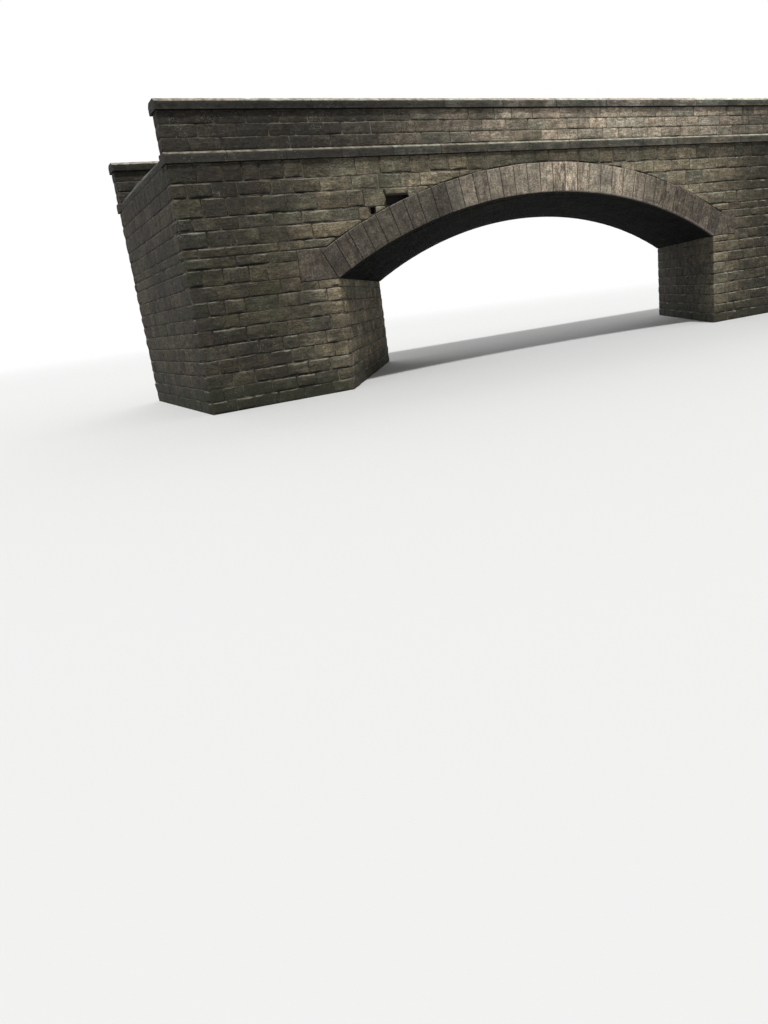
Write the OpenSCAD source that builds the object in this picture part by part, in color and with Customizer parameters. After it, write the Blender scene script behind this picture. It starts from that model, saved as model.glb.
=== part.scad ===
// Stone arch bridge: one skew segmental arch of dressed sandstone between solid
// abutments, with coursed side walls, a string course, parapets and a coping.
// X runs along the road, Y across it, Z up. The near side faces -Y, the arch axis
// leans towards +X as Y grows, and the far half is the near half turned half a turn.

/* [Bridge] */
// Length along the road, end to end
bridge_length = 27720; // [26000:20:32000]
// Width over the two side walls
bridge_width = 7000; // [5600:50:7600]
// Height of the springing line above the base
springing_height = 3000; // [1500:50:4500]

/* [Arch] */
// Clear span between the abutments, measured square to their faces
square_span = 12000; // [10000:50:12600]
// Rise of the soffit from the springing line to the crown
arch_rise = 1820; // [1500:10:2300]
// Angle by which the arch leaves square with the side walls, in degrees
skew_angle = 35; // [10:1:37]
// Depth of the ring stones and of the barrel, square to the soffit
ring_depth = 830; // [600:10:1000]
// Ring stones on each side of the keystone
stones_each_side = 16; // [8:1:20]
// Open joint between two ring stones
ring_joint = 8; // [4:1:15]
// How far the ring stands out from the side wall
ring_proud = 30; // [5:5:60]
// Length of a springer beyond the foot of the ring, along the wall
springer_length = 1100; // [900:10:1500]
// Height of a springer, up to a bed of the side wall
springer_height = 810; // [780:10:900]
// Length of a skewback stone beyond the foot of the barrel, square to the arch
skewback_length = 900; // [700:10:1300]

/* [Side walls] */
// Thickness of the side walls and of the ring stones that carry them
wall_thickness = 600; // [500:10:800]
// Cover of wall between the top of the keystone and the string course
crown_cover = 324; // [200:4:500]
// Thickness of the walls that close the two ends
end_wall_thickness = 500; // [400:10:700]
// How far the string course and the coping reach past the end walls
end_reach = 50; // [0:5:100]

/* [Lost stones] */
// Distance from the middle of the near face to the lost block's far end
lost_block_x = 8050; // [7900:10:8200]
// Height of the bed that the lost block lay on
lost_block_z = 4740; // [4720:10:4800]
// Length of the lost block
lost_block_length = 720; // [600:10:800]
// Height of the lost block
lost_block_height = 250; // [180:10:320]
// Depth of the pocket that it left
lost_block_depth = 180; // [100:10:260]
// Distance from the middle of the near face to the lost pinning stone
lost_pin_x = 8560; // [8500:10:8620]
// Height of the bed that the pinning stone lay on
lost_pin_z = 4540; // [4500:10:4580]
// Length of the pinning stone
lost_pin_length = 150; // [100:10:200]
// Height of the pinning stone
lost_pin_height = 180; // [120:10:190]

/* [String course] */
// Height of the string course
string_height = 266; // [200:2:320]
// How far the string course stands out from the wall
string_projection = 100; // [60:5:160]
// Height of the slope along its top edge
string_slope_height = 60; // [30:5:100]
// Depth of that slope
string_slope_depth = 80; // [40:5:120]
// Length of one stone of the string course
string_stone = 1540; // [1000:20:2400]

/* [Parapet] */
// Height of the parapet above the string course
parapet_height = 890; // [700:10:1100]
// Thickness of the parapet
parapet_thickness = 400; // [300:10:500]
// Height of the coping slabs
coping_height = 260; // [180:5:320]
// Overhang of the coping on each side of the parapet
coping_overhang = 120; // [110:5:180]
// Height of the slope along each top edge of the coping
coping_slope_height = 80; // [40:5:120]
// Depth of that slope
coping_slope_depth = 110; // [60:5:150]
// Length of one coping slab
coping_slab = 1980; // [1200:20:2600]
// Open joint between two slabs of the coping or two stones of the string course
slab_joint = 6; // [3:1:12]

/* [Roadway] */
// How far the edges of the road lie below the top of the string course
road_drop = 70; // [50:5:120]
// Rise of the road from its edges to its middle
road_camber = 55; // [20:5:100]

/* [Hidden] */
$fn = 360;

// Colours of the weathered stone
wall_stone = [0.42, 0.37, 0.32];
ring_stone = [0.47, 0.40, 0.35];
soffit_stone = [0.30, 0.28, 0.25];
coping_stone = [0.55, 0.52, 0.46];
rubble = [0.38, 0.35, 0.30];
road_grit = [0.33, 0.32, 0.31];

// Arch in its own cross-section, square to its axis
half_span = square_span / 2;
soffit_radius = (half_span * half_span + arch_rise * arch_rise) / (2 * arch_rise);
back_radius = soffit_radius + ring_depth;
centre_z = springing_height + arch_rise - soffit_radius;
half_angle = asin(half_span / soffit_radius);
crown_z = springing_height + arch_rise;

// The same arch where the wall faces cut it: a circle stretched along X
stretch = 1 / cos(skew_angle);
face_half_span = half_span * stretch;
half_width = bridge_width / 2;
inner_half = half_width - wall_thickness;
half_length = bridge_length / 2;
wall_end = half_length - end_reach;
face_shift = half_width * tan(skew_angle);
stone_angle = half_angle / (stones_each_side + 0.5);

// Levels up the wall
wall_top = crown_z + ring_depth + crown_cover;
string_top = wall_top + string_height;
coping_bed = string_top + parapet_height;
road_edge = string_top - road_drop;
parapet_back = half_width - parapet_thickness;

// How far cutting shapes reach past what they cut
over = 400;
axis_length = 3 * bridge_width;

// Point of the soffit's curve on the face, at an angle of the arch's own circle
function foot(a) = [soffit_radius * stretch * sin(a), centre_z + soffit_radius * cos(a)];
// Slope of a joint that stands square to that curve, measured from upright
function lean(a) = atan(tan(a) / stretch);
// A point up the joint line at angle a
function on_joint(a, up) = foot(a) + up * [sin(lean(a)), cos(lean(a))];
// The point at a distance from p, on the way to q
function towards(p, q, distance) = p + distance * (q - p) / norm(q - p);

// Where the springers end, from the middle of the arch, and their level top
springer_end = face_half_span + springer_length;
springer_top = springing_height + springer_height;
springer_joint = springer_height / cos(lean(half_angle));

// The top of the skewback, in the arch's own cross-section
skewback_tip = half_span + ring_depth * sin(half_angle);
skewback_top = springing_height + ring_depth * cos(half_angle);

// Places a flat outline drawn in X and Z, with its thickness from y0 to y1
module along_y(y0, y1) {
    translate([0, y1, 0])
        rotate([90, 0, 0])
            linear_extrude(height = y1 - y0)
                children();
}

// Places a flat outline of the arch's cross-section along its leaning axis
module along_arch() {
    rotate([0, 0, -skew_angle])
        rotate([90, 0, 0])
            linear_extrude(height = axis_length, center = true)
                children();
}

module arch_cylinder(radius) {
    rotate([0, 0, -skew_angle])
        translate([0, 0, centre_z])
            rotate([90, 0, 0])
                cylinder(r = radius, h = axis_length, center = true);
}

module above_springing() {
    translate([-half_length, -bridge_width, springing_height])
        cube([bridge_length, 2 * bridge_width, wall_top]);
}

// Places a flat outline in the thickness of the near wall, from the arch's middle
module in_near_wall(proud = 0) {
    translate([-face_shift, 0, 0])
        along_y(-half_width - proud, -inner_half)
            children();
}

// One ring stone of the near face: a straight prism with a flat back, hollowed by
// the vault. Each side stands back from its joint line by half of the open joint.
module ring_stone(a0, a1, gap0, gap1) {
    low0 = on_joint(a0, -wall_thickness);
    low1 = on_joint(a1, -wall_thickness);
    back0 = on_joint(a0, ring_depth);
    back1 = on_joint(a1, ring_depth);
    intersection() {
        difference() {
            in_near_wall(ring_proud)
                polygon([
                    towards(low0, low1, gap0), towards(back0, back1, gap0),
                    towards(back1, back0, gap1), towards(low1, low0, gap1)
                ]);
            arch_cylinder(soffit_radius);
        }
        above_springing();
    }
}

// The ring stones on one side of the keystone: side is -1 for left, 1 for right
module ring_half(side) {
    for (i = [1 : stones_each_side]) {
        inner = (i - 0.5) * stone_angle;
        outer = (i + 0.5) * stone_angle;
        seat = i == stones_each_side ? 0 : ring_joint / 2;
        if (side < 0)
            ring_stone(-outer, -inner, seat, ring_joint / 2);
        else
            ring_stone(inner, outer, ring_joint / 2, seat);
    }
}

module keystone() {
    ring_stone(-stone_angle / 2, stone_angle / 2, ring_joint / 2, ring_joint / 2);
}

// A springer of the near face, which carries the foot of the ring
module springer(side) {
    difference() {
        in_near_wall(ring_proud)
            scale([side, 1, 1])
                polygon([
                    foot(half_angle), [springer_end, springing_height],
                    [springer_end, springer_top], on_joint(half_angle, springer_joint)
                ]);
        arch_cylinder(soffit_radius);
    }
}

// All that the ring and its springers fill or span, for cutting the wall above them
module arch_cut() {
    last = stones_each_side + 0.5;
    outer = springer_end + over;
    in_near_wall(over)
        polygon([
            [-outer, springing_height - over], [-outer, springer_top],
            on_joint(-half_angle, springer_joint),
            for (i = [-last : last]) on_joint(i * stone_angle, ring_depth),
            on_joint(half_angle, springer_joint),
            [outer, springer_top], [outer, springing_height - over]
        ]);
}

module barrel_sector() {
    reach = (arch_rise + 2 * ring_depth) / cos(half_angle);
    out_x = half_span + reach * sin(half_angle);
    out_z = springing_height + reach * cos(half_angle);
    along_arch()
        polygon([
            [-half_span, springing_height], [-out_x, out_z],
            [out_x, out_z], [half_span, springing_height]
        ]);
}

module between_walls() {
    translate([-half_length, -inner_half, 0])
        cube([bridge_length, 2 * inner_half, coping_bed]);
}

module skewback(side) {
    outer = half_span + skewback_length;
    intersection() {
        along_arch()
            scale([side, 1, 1])
                polygon([
                    [half_span, springing_height], [outer, springing_height],
                    [outer, skewback_top], [skewback_tip, skewback_top]
                ]);
        between_walls();
    }
}

// Where the near side wall is divided, from the middle of the bridge
function wall_split(side) = side * springer_end - face_shift;

module wall_plate(x0, x1) {
    translate([x0, -half_width, springing_height])
        cube([x1 - x0, wall_thickness, wall_top - springing_height]);
}

module spandrel(side) {
    x0 = min(-face_shift, wall_split(side));
    x1 = max(-face_shift, wall_split(side));
    difference() {
        wall_plate(x0, x1);
        arch_cut();
    }
}

// Pockets of the near left wall whose stones have fallen out
module lost_stones() {
    translate([-lost_block_x, -half_width - over, lost_block_z])
        cube([lost_block_length, over + lost_block_depth, lost_block_height]);
    translate([-lost_pin_x, -half_width - over, lost_pin_z])
        cube([lost_pin_length, over + lost_block_depth, lost_pin_height]);
}

module wing(side) {
    x0 = side < 0 ? -wall_end : wall_split(side);
    x1 = side < 0 ? wall_split(side) : wall_end;
    wall_plate(x0, x1);
}

module abutment() {
    near_x = -face_shift - face_half_span;
    far_x = face_shift - face_half_span;
    linear_extrude(height = springing_height)
        polygon([
            [-wall_end, -half_width], [near_x, -half_width],
            [far_x, half_width], [-wall_end, half_width]
        ]);
}

module end_wall() {
    translate([-wall_end, -inner_half, springing_height])
        cube([end_wall_thickness, 2 * inner_half, wall_top - springing_height]);
}

// A run of like stones from end to end, with an open joint between two of them
module stone_run(stone_length) {
    count = round(bridge_length / stone_length);
    pitch = bridge_length / count;
    for (i = [0 : count - 1]) {
        start = i == 0 ? 0 : slab_joint / 2;
        finish = i == count - 1 ? 0 : slab_joint / 2;
        translate([-half_length + i * pitch + start, 0, 0])
            rotate([90, 0, 90])
                linear_extrude(height = pitch - start - finish)
                    children();
    }
}

module string_outline() {
    face = -half_width - string_projection;
    polygon([
        [face, wall_top], [-parapet_back, wall_top], [-parapet_back, string_top],
        [face + string_slope_depth, string_top], [face, string_top - string_slope_height]
    ]);
}

module coping_outline() {
    face = -half_width - coping_overhang;
    back = -parapet_back + coping_overhang;
    top = coping_bed + coping_height;
    polygon([
        [face, coping_bed], [back, coping_bed], [back, top - coping_slope_height],
        [back - coping_slope_depth, top], [face + coping_slope_depth, top],
        [face, top - coping_slope_height]
    ]);
}

module parapet() {
    translate([-wall_end, -half_width, string_top])
        cube([2 * wall_end, parapet_thickness, parapet_height]);
}

// Turns a near piece into the far one
module far() {
    rotate([0, 0, 180])
        children();
}

module abutment_left() {
    color(wall_stone) abutment();
}

module abutment_right() {
    color(wall_stone) far() abutment();
}

module skewback_left() {
    color(soffit_stone) skewback(-1);
}

module skewback_right() {
    color(soffit_stone) skewback(1);
}

module springer_near_left() {
    color(ring_stone) springer(-1);
}

module springer_near_right() {
    color(ring_stone) springer(1);
}

module springer_far_left() {
    color(ring_stone) far() springer(1);
}

module springer_far_right() {
    color(ring_stone) far() springer(-1);
}

module arch_barrel() {
    color(soffit_stone)
        intersection() {
            difference() {
                arch_cylinder(back_radius);
                arch_cylinder(soffit_radius);
            }
            barrel_sector();
            between_walls();
        }
}

module keystone_near() {
    color(ring_stone) keystone();
}

module keystone_far() {
    color(ring_stone) far() keystone();
}

module ring_near_left() {
    color(ring_stone) ring_half(-1);
}

module ring_near_right() {
    color(ring_stone) ring_half(1);
}

module ring_far_left() {
    color(ring_stone) far() ring_half(1);
}

module ring_far_right() {
    color(ring_stone) far() ring_half(-1);
}

module spandrel_near_left() {
    color(wall_stone)
        difference() {
            spandrel(-1);
            lost_stones();
        }
}

module spandrel_near_right() {
    color(wall_stone) spandrel(1);
}

module spandrel_far_left() {
    color(wall_stone) far() spandrel(1);
}

module spandrel_far_right() {
    color(wall_stone) far() spandrel(-1);
}

module wing_near_left() {
    color(wall_stone) wing(-1);
}

module wing_near_right() {
    color(wall_stone) wing(1);
}

module wing_far_left() {
    color(wall_stone) far() wing(1);
}

module wing_far_right() {
    color(wall_stone) far() wing(-1);
}

module end_wall_left() {
    color(wall_stone) end_wall();
}

module end_wall_right() {
    color(wall_stone) far() end_wall();
}

// Rubble packed over the barrel, between the side walls and the end walls
module core_fill() {
    core_length = 2 * (wall_end - end_wall_thickness);
    color(rubble)
        difference() {
            translate([-core_length / 2, -inner_half, springing_height])
                cube([core_length, 2 * inner_half, wall_top - springing_height]);
            intersection() {
                arch_cylinder(back_radius);
                barrel_sector();
            }
            skewback(-1);
            skewback(1);
        }
}

// Road from parapet to parapet, falling from its middle to both edges
module roadway() {
    color(road_grit)
        rotate([0, 0, 90])
            along_y(-wall_end, wall_end)
                polygon([
                    [-parapet_back, wall_top], [parapet_back, wall_top],
                    [parapet_back, road_edge], [0, road_edge + road_camber],
                    [-parapet_back, road_edge]
                ]);
}

module string_near() {
    color(coping_stone) stone_run(string_stone) string_outline();
}

module string_far() {
    color(coping_stone) far() stone_run(string_stone) string_outline();
}

module parapet_near() {
    color(wall_stone) parapet();
}

module parapet_far() {
    color(wall_stone) far() parapet();
}

module coping_near() {
    color(coping_stone) stone_run(coping_slab) coping_outline();
}

module coping_far() {
    color(coping_stone) far() stone_run(coping_slab) coping_outline();
}

abutment_left();
abutment_right();
skewback_left();
skewback_right();
springer_near_left();
springer_near_right();
springer_far_left();
springer_far_right();
arch_barrel();
keystone_near();
keystone_far();
ring_near_left();
ring_near_right();
ring_far_left();
ring_far_right();
spandrel_near_left();
spandrel_near_right();
spandrel_far_left();
spandrel_far_right();
wing_near_left();
wing_near_right();
wing_far_left();
wing_far_right();
end_wall_left();
end_wall_right();
core_fill();
roadway();
string_near();
string_far();
parapet_near();
parapet_far();
coping_near();
coping_far();
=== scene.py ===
"""Looks of the skew stone arch bridge: its stones, mortar, road and a plain studio."""

import logging
import math
from dataclasses import dataclass, replace
from enum import Enum
from functools import partial, reduce
from itertools import cycle, pairwise, repeat
from typing import Callable, Iterable, Iterator, NamedTuple

import bpy
import numpy as np
from mathutils import Matrix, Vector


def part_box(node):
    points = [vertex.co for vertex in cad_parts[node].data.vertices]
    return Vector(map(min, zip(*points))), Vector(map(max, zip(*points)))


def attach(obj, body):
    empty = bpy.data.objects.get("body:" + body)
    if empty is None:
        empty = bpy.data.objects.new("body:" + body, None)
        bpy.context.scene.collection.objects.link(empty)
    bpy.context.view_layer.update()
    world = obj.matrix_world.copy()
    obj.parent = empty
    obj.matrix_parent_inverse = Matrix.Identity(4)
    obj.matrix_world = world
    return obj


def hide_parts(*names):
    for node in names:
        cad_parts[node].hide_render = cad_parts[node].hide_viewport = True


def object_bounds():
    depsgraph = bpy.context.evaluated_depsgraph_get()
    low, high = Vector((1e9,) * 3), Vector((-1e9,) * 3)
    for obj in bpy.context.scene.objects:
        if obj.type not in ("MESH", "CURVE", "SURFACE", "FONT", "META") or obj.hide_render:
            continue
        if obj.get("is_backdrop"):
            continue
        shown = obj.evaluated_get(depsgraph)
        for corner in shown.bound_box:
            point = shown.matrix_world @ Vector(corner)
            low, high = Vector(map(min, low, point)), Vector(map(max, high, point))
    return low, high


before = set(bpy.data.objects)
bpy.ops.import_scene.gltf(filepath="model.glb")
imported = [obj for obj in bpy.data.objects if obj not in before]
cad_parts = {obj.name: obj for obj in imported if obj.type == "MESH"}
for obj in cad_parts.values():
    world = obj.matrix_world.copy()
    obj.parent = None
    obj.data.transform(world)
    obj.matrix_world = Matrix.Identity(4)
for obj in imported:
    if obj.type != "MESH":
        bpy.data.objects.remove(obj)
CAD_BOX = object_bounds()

LOG = logging.getLogger("stone_bridge")
Triple = tuple[float, float, float]
Colour = Triple
Tint = tuple[float, float]
Span = tuple[float, float]
Grids = tuple[np.ndarray, np.ndarray]
Edge = Callable[[np.ndarray], np.ndarray]
Socket = bpy.types.NodeSocket
Material = bpy.types.Material


class Side(Enum):
    """Which face of the bridge a piece is on; the far one is the near one turned half round."""

    NEAR = 1
    FAR = -1

    @property
    def word(self) -> str:
        """The side's name as the nodes give it."""
        return self.name.lower()


class Tooling(Enum):
    """How a stone's face was worked."""

    PITCHED = "pitched"
    DRESSED = "dressed"
    SOOTED = "sooted"
    RUBBED = "rubbed"


@dataclass(frozen=True)
class ArchLines:
    """The arch in its own cross-section and on the wall faces, in metres."""

    half_span: float = 6.0
    rise: float = 1.82
    springing: float = 3.0
    skew: float = math.radians(35.0)
    ring_depth: float = 0.83
    stones_each_side: int = 16
    half_width: float = 3.5
    inner_half: float = 2.9
    springer_length: float = 1.1
    springer_top: float = 3.81

    @property
    def radius(self) -> float:
        """Radius of the vault's round underside."""
        return (self.half_span**2 + self.rise**2) / (2 * self.rise)

    @property
    def centre_z(self) -> float:
        """Level of the vault's axis."""
        return self.springing + self.rise - self.radius

    @property
    def half_angle(self) -> float:
        """Half of the angle that the vault fills."""
        return math.asin(self.half_span / self.radius)

    @property
    def stone_angle(self) -> float:
        """Angle of one ring stone."""
        return self.half_angle / (self.stones_each_side + 0.5)

    @property
    def stretch(self) -> float:
        """How much longer the arch is along a wall face than across its own axis."""
        return 1 / math.cos(self.skew)

    @property
    def face_shift(self) -> float:
        """How far left of the middle the near mouth's centre lies."""
        return self.half_width * math.tan(self.skew)

    @property
    def face_half_span(self) -> float:
        """Half of the opening as seen on a wall face."""
        return self.half_span * self.stretch

    @property
    def springer_end(self) -> float:
        """Outer end of the springers, from the mouth's centre."""
        return self.face_half_span + self.springer_length

    def joint_point(self, angle: float, up: np.ndarray | float) -> tuple[np.ndarray, np.ndarray]:
        """A point up a ring joint, from the mouth's centre.

        Args:
            angle: Place of the joint on the vault's circle.
            up: Distance from the underside along the joint.

        Returns:
            Distance along the face and level.
        """
        lean = math.atan(math.tan(angle) / self.stretch)
        foot_x = self.radius * self.stretch * math.sin(angle)
        foot_z = self.centre_z + self.radius * math.cos(angle)
        return foot_x + up * math.sin(lean), foot_z + up * math.cos(lean)

    def ring_back(self, along: np.ndarray) -> np.ndarray:
        """Level of the top of the ring and its springers.

        Args:
            along: Distances along the near face from the bridge's middle.

        Returns:
            The level above which wall stones may lie.
        """
        last = self.stones_each_side + 0.5
        joints = np.arange(-last, last + 1) * self.stone_angle
        points = np.array([self.joint_point(a, self.ring_depth) for a in joints])
        level = np.interp(along + self.face_shift, points[:, 0], points[:, 1], left=0.0, right=0.0)
        on_springer = np.abs(along + self.face_shift) < self.springer_end
        return np.where(on_springer, np.maximum(level, self.springer_top), level)


ARCH = ArchLines()


@dataclass(frozen=True)
class Levels:
    """Levels and reaches of the built pieces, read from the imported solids."""

    wall_end: float
    half_length: float
    wall_top: float
    string_top: float
    coping_bed: float
    top: float
    string_out: float
    coping_out: float
    coping_in: float
    parapet_back: float

    @classmethod
    def from_frame(cls) -> "Levels":
        """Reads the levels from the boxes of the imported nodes.

        Returns:
            The levels and reaches.
        """
        parapet_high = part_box("parapet_near")[1]
        string_low, string_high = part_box("string_near")
        coping_low, coping_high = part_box("coping_near")
        return cls(
            wall_end=parapet_high.x,
            half_length=coping_high.x,
            wall_top=string_low.z,
            string_top=string_high.z,
            coping_bed=parapet_high.z,
            top=coping_high.z,
            string_out=-string_low.y,
            coping_out=-coping_low.y,
            coping_in=-coping_high.y,
            parapet_back=-parapet_high.y,
        )


CELL_CORNERS = tuple(np.ndindex(2, 2, 2))
HASH_X, HASH_Y, HASH_Z, HASH_SEED, HASH_STIR = 73856093, 19349663, 83492791, 2654435761, 1274126177
HASH_MASK = 0xFFFF
NEAR_END = 0.4
SHARP_ANGLE = math.radians(48.0)


def ripple(points: np.ndarray, cell: float, seed: int) -> np.ndarray:
    """Smooth noise at each point, the same on every run.

    Args:
        points: Places, with three numbers on the last axis.
        cell: Size of one bump, in metres.
        seed: Picks the pattern.

    Returns:
        One value from -1 to 1 for each point.
    """
    scaled = points / cell
    base = np.floor(scaled).astype(np.int64)
    part = scaled - base
    part = part * part * (3 - 2 * part)
    total = np.zeros(points.shape[:-1])
    for corner in CELL_CORNERS:
        key = base + np.array(corner)
        mixed = (key[..., 0] * HASH_X) ^ (key[..., 1] * HASH_Y) ^ (key[..., 2] * HASH_Z)
        mixed = mixed ^ (seed * HASH_SEED)
        mixed = (mixed ^ (mixed >> 13)) * HASH_STIR
        value = ((mixed ^ (mixed >> 16)) & HASH_MASK) / (HASH_MASK / 2) - 1
        total += value * np.prod(np.where(np.array(corner) == 1, part, 1 - part), axis=-1)
    return total


def spaced(length: float, near: Iterable[float], step: float) -> np.ndarray:
    """Grid places along a side, close together at both ends.

    Args:
        length: Length of the side.
        near: Distances from each end, the first of them 0.
        step: Spacing in the middle.

    Returns:
        Places from 0 to the length.
    """
    close = [d for d in near if d < NEAR_END * length]
    inner = length - 2 * close[-1]
    count = max(1, round(inner / step))
    middle = np.linspace(close[-1], length - close[-1], count + 1)[1:-1]
    return np.concatenate([close, middle, length - np.array(close[::-1])])


def around(grid: np.ndarray) -> np.ndarray:
    """The values on a grid's border, counter-clockwise from the first corner."""
    return np.concatenate([grid[0, :], grid[1:, -1], grid[-1, -2::-1], grid[-2:0:-1, 0]])


def tinted(tone: float, hue: float) -> Tint:
    """A stone's tone and hue, held between 0 and 1."""
    return float(np.clip(tone, 0, 1)), float(np.clip(hue, 0, 1))


def marked(pale: np.ndarray, dark: np.ndarray) -> np.ndarray:
    """Edge marks: up to 1 where pale, and down to -1 where the dark is the stronger."""
    return np.where(dark > pale, -dark, pale)


class Rows(NamedTuple):
    """Points of a stone: in the bridge's frame, in its own frame, and their edge marks."""

    points: np.ndarray
    places: np.ndarray
    arris: np.ndarray

    def flat(self) -> "Rows":
        """The same points in one long row."""
        return Rows(self.points.reshape(-1, 3), self.places.reshape(-1, 3), self.arris.ravel())


class StonePile:
    """Collects closed stones and turns them into one mesh."""

    def __init__(self) -> None:
        """Starts with no stones."""
        self.points: list[np.ndarray] = []
        self.places: list[np.ndarray] = []
        self.marks: list[np.ndarray] = []
        self.corners: list[np.ndarray] = []
        self.sizes: list[np.ndarray] = []
        self.count = 0

    def _keep(self, rows: Rows, tint: Tint, quads: np.ndarray, ends: list[np.ndarray]) -> None:
        """Adds one closed stone's points and faces.

        Args:
            rows: Its points.
            tint: Its tone and hue.
            quads: Corners of the four-sided faces.
            ends: Corners of each larger flat face.
        """
        self.points.append(rows.points)
        self.places.append(rows.places)
        self.marks.append(np.column_stack([np.broadcast_to(tint, (len(rows.arris), 2)), rows.arris]))
        self.corners.append((quads + self.count).ravel())
        self.sizes.append(np.full(len(quads), 4))
        for end in ends:
            self.corners.append(end + self.count)
            self.sizes.append(np.array([len(end)]))
        self.count += len(rows.points)

    def add_block(self, front: Rows, loops: list[Rows], tint: Tint) -> None:
        """Adds a block: a front grid, border loops going back from it, and a flat back.

        Args:
            front: Grid of its face, upward by along, seen from outside.
            loops: Each border loop behind the front.
            tint: Its tone and hue.
        """
        index = np.arange(front.arris.size).reshape(front.arris.shape)
        low, high = index[:-1], index[1:]
        quads = [np.stack([low[:, :-1], low[:, 1:], high[:, 1:], high[:, :-1]], -1).reshape(-1, 4)]
        rim, start = around(index), index.size
        for _ in loops:
            behind = np.arange(start, start + len(rim))
            quads.append(np.stack([rim, behind, np.roll(behind, -1), np.roll(rim, -1)], -1))
            rim, start = behind, start + len(rim)
        rows = Rows(*map(np.concatenate, zip(front.flat(), *loops)))
        self._keep(rows, tint, np.concatenate(quads), [rim[::-1]])

    def add_bar(self, outlines: Rows, tint: Tint) -> None:
        """Adds a bar: outlines set one after another, closed at both ends.

        Args:
            outlines: Grid of its sides, outlines by their points.
            tint: Its tone and hue.
        """
        index = np.arange(outlines.arris.size).reshape(outlines.arris.shape)
        beside = np.roll(index, -1, axis=1)
        quads = np.stack([index[:-1], index[1:], beside[1:], beside[:-1]], -1).reshape(-1, 4)
        self._keep(outlines.flat(), tint, quads, [index[0], index[-1][::-1]])

    def build(self, name: str, material: Material, slot: str, replaced: Iterable[str] = ()) -> None:
        """Makes the mesh, dresses it and puts it on the bridge.

        Args:
            name: Name of the piece.
            material: Its finish.
            slot: The record's material slot that the finish belongs to; not used.
            replaced: Solids that the piece stands for.
        """
        points, corners, sizes = map(np.concatenate, (self.points, self.corners, self.sizes))
        mesh = bpy.data.meshes.new(name)
        mesh.vertices.add(len(points))
        mesh.vertices.foreach_set("co", points.astype(np.float32).ravel())
        mesh.loops.add(len(corners))
        mesh.loops.foreach_set("vertex_index", corners.astype(np.int32))
        mesh.polygons.add(len(sizes))
        mesh.polygons.foreach_set("loop_start", (np.cumsum(sizes) - sizes).astype(np.int32))
        mesh.polygons.foreach_set("loop_total", sizes.astype(np.int32))
        mesh.polygons.foreach_set("use_smooth", np.ones(len(sizes), bool))
        for label, rows in (("stone_place", self.places), ("stone_mark", self.marks)):
            attribute = mesh.attributes.new(label, "FLOAT_VECTOR", "POINT")
            attribute.data.foreach_set("vector", np.concatenate(rows).astype(np.float32).ravel())
        mesh.update(calc_edges=True)
        mesh.validate()
        mesh.set_sharp_from_angle(angle=SHARP_ANGLE)
        mesh.materials.append(material)
        piece = bpy.data.objects.new(name, mesh)
        bpy.context.scene.collection.objects.link(piece)
        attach(piece, "root")
        if replaced:
            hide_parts(*replaced)
        LOG.info("%s: %d triangles", name, (sizes - 2).sum())


@dataclass(frozen=True)
class FacePlane:
    """A flat upright face of masonry.

    Places on it are given along the face, up, and out from it.
    """

    origin: tuple[float, float]
    out: tuple[float, float]
    turn: int = 1

    def world(self, along: np.ndarray, up: np.ndarray, out: np.ndarray | float) -> np.ndarray:
        """Turns places on the face into points of the bridge's frame.

        Args:
            along: Distances along the face, to the right as seen from outside.
            up: Levels.
            out: Distances out from the face.

        Returns:
            Points, with x, y and z on the last axis.
        """
        x = self.origin[0] - self.out[1] * along + self.out[0] * out
        y = self.origin[1] + self.out[0] * along + self.out[1] * out
        return np.stack(np.broadcast_arrays(self.turn * x, self.turn * y, up), -1)


@dataclass(frozen=True)
class VaultChart:
    """The round underside of the vault: along its axis, round it, and in from it."""

    arch: ArchLines = ARCH

    def world(self, along: np.ndarray, up: np.ndarray, out: np.ndarray | float) -> np.ndarray:
        """Turns places on the vault into points of the bridge's frame.

        Args:
            along: Distances along the vault's axis.
            up: Arc lengths from the crown.
            out: Distances in from the vault, towards its axis.

        Returns:
            Points, with x, y and z on the last axis.
        """
        angle = up / self.arch.radius
        radius = self.arch.radius - out
        across = radius * np.sin(angle)
        cos, sin = math.cos(self.arch.skew), math.sin(self.arch.skew)
        x = across * cos + along * sin
        y = -across * sin + along * cos
        return np.stack(np.broadcast_arrays(x, y, self.arch.centre_z + radius * np.cos(angle)), -1)


@dataclass(frozen=True)
class Quoin:
    """The side of a corner stone that shows on the next face."""

    side: int
    depth: float
    lean: float = 0.0


@dataclass(frozen=True)
class Block:
    """One block's limits on its face and its tint. An edge bends where a callable says so."""

    start: float
    finish: float
    low: float
    high: float
    tint: Tint
    floor: Edge | None = None
    left: Edge | None = None
    right: Edge | None = None
    quoin: Quoin | None = None


@dataclass(frozen=True)
class Dressing:
    """How blocks of one kind stand out of the mortar and how rough their faces are."""

    edge_out: float = 0.006
    least_bulge: float = 0.008
    most_bulge: float = 0.038
    most_swell: float = 0.036
    soft: float = 0.026
    wobble: float = 0.009
    rough: float = 0.027
    fine: float = 0.011
    tilt: float = 0.006
    step: float = 0.08
    near: tuple[float, ...] = (0.0, 0.011, 0.03, 0.065)
    sunk: float = 0.035
    round_off: float = 0.013


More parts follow.
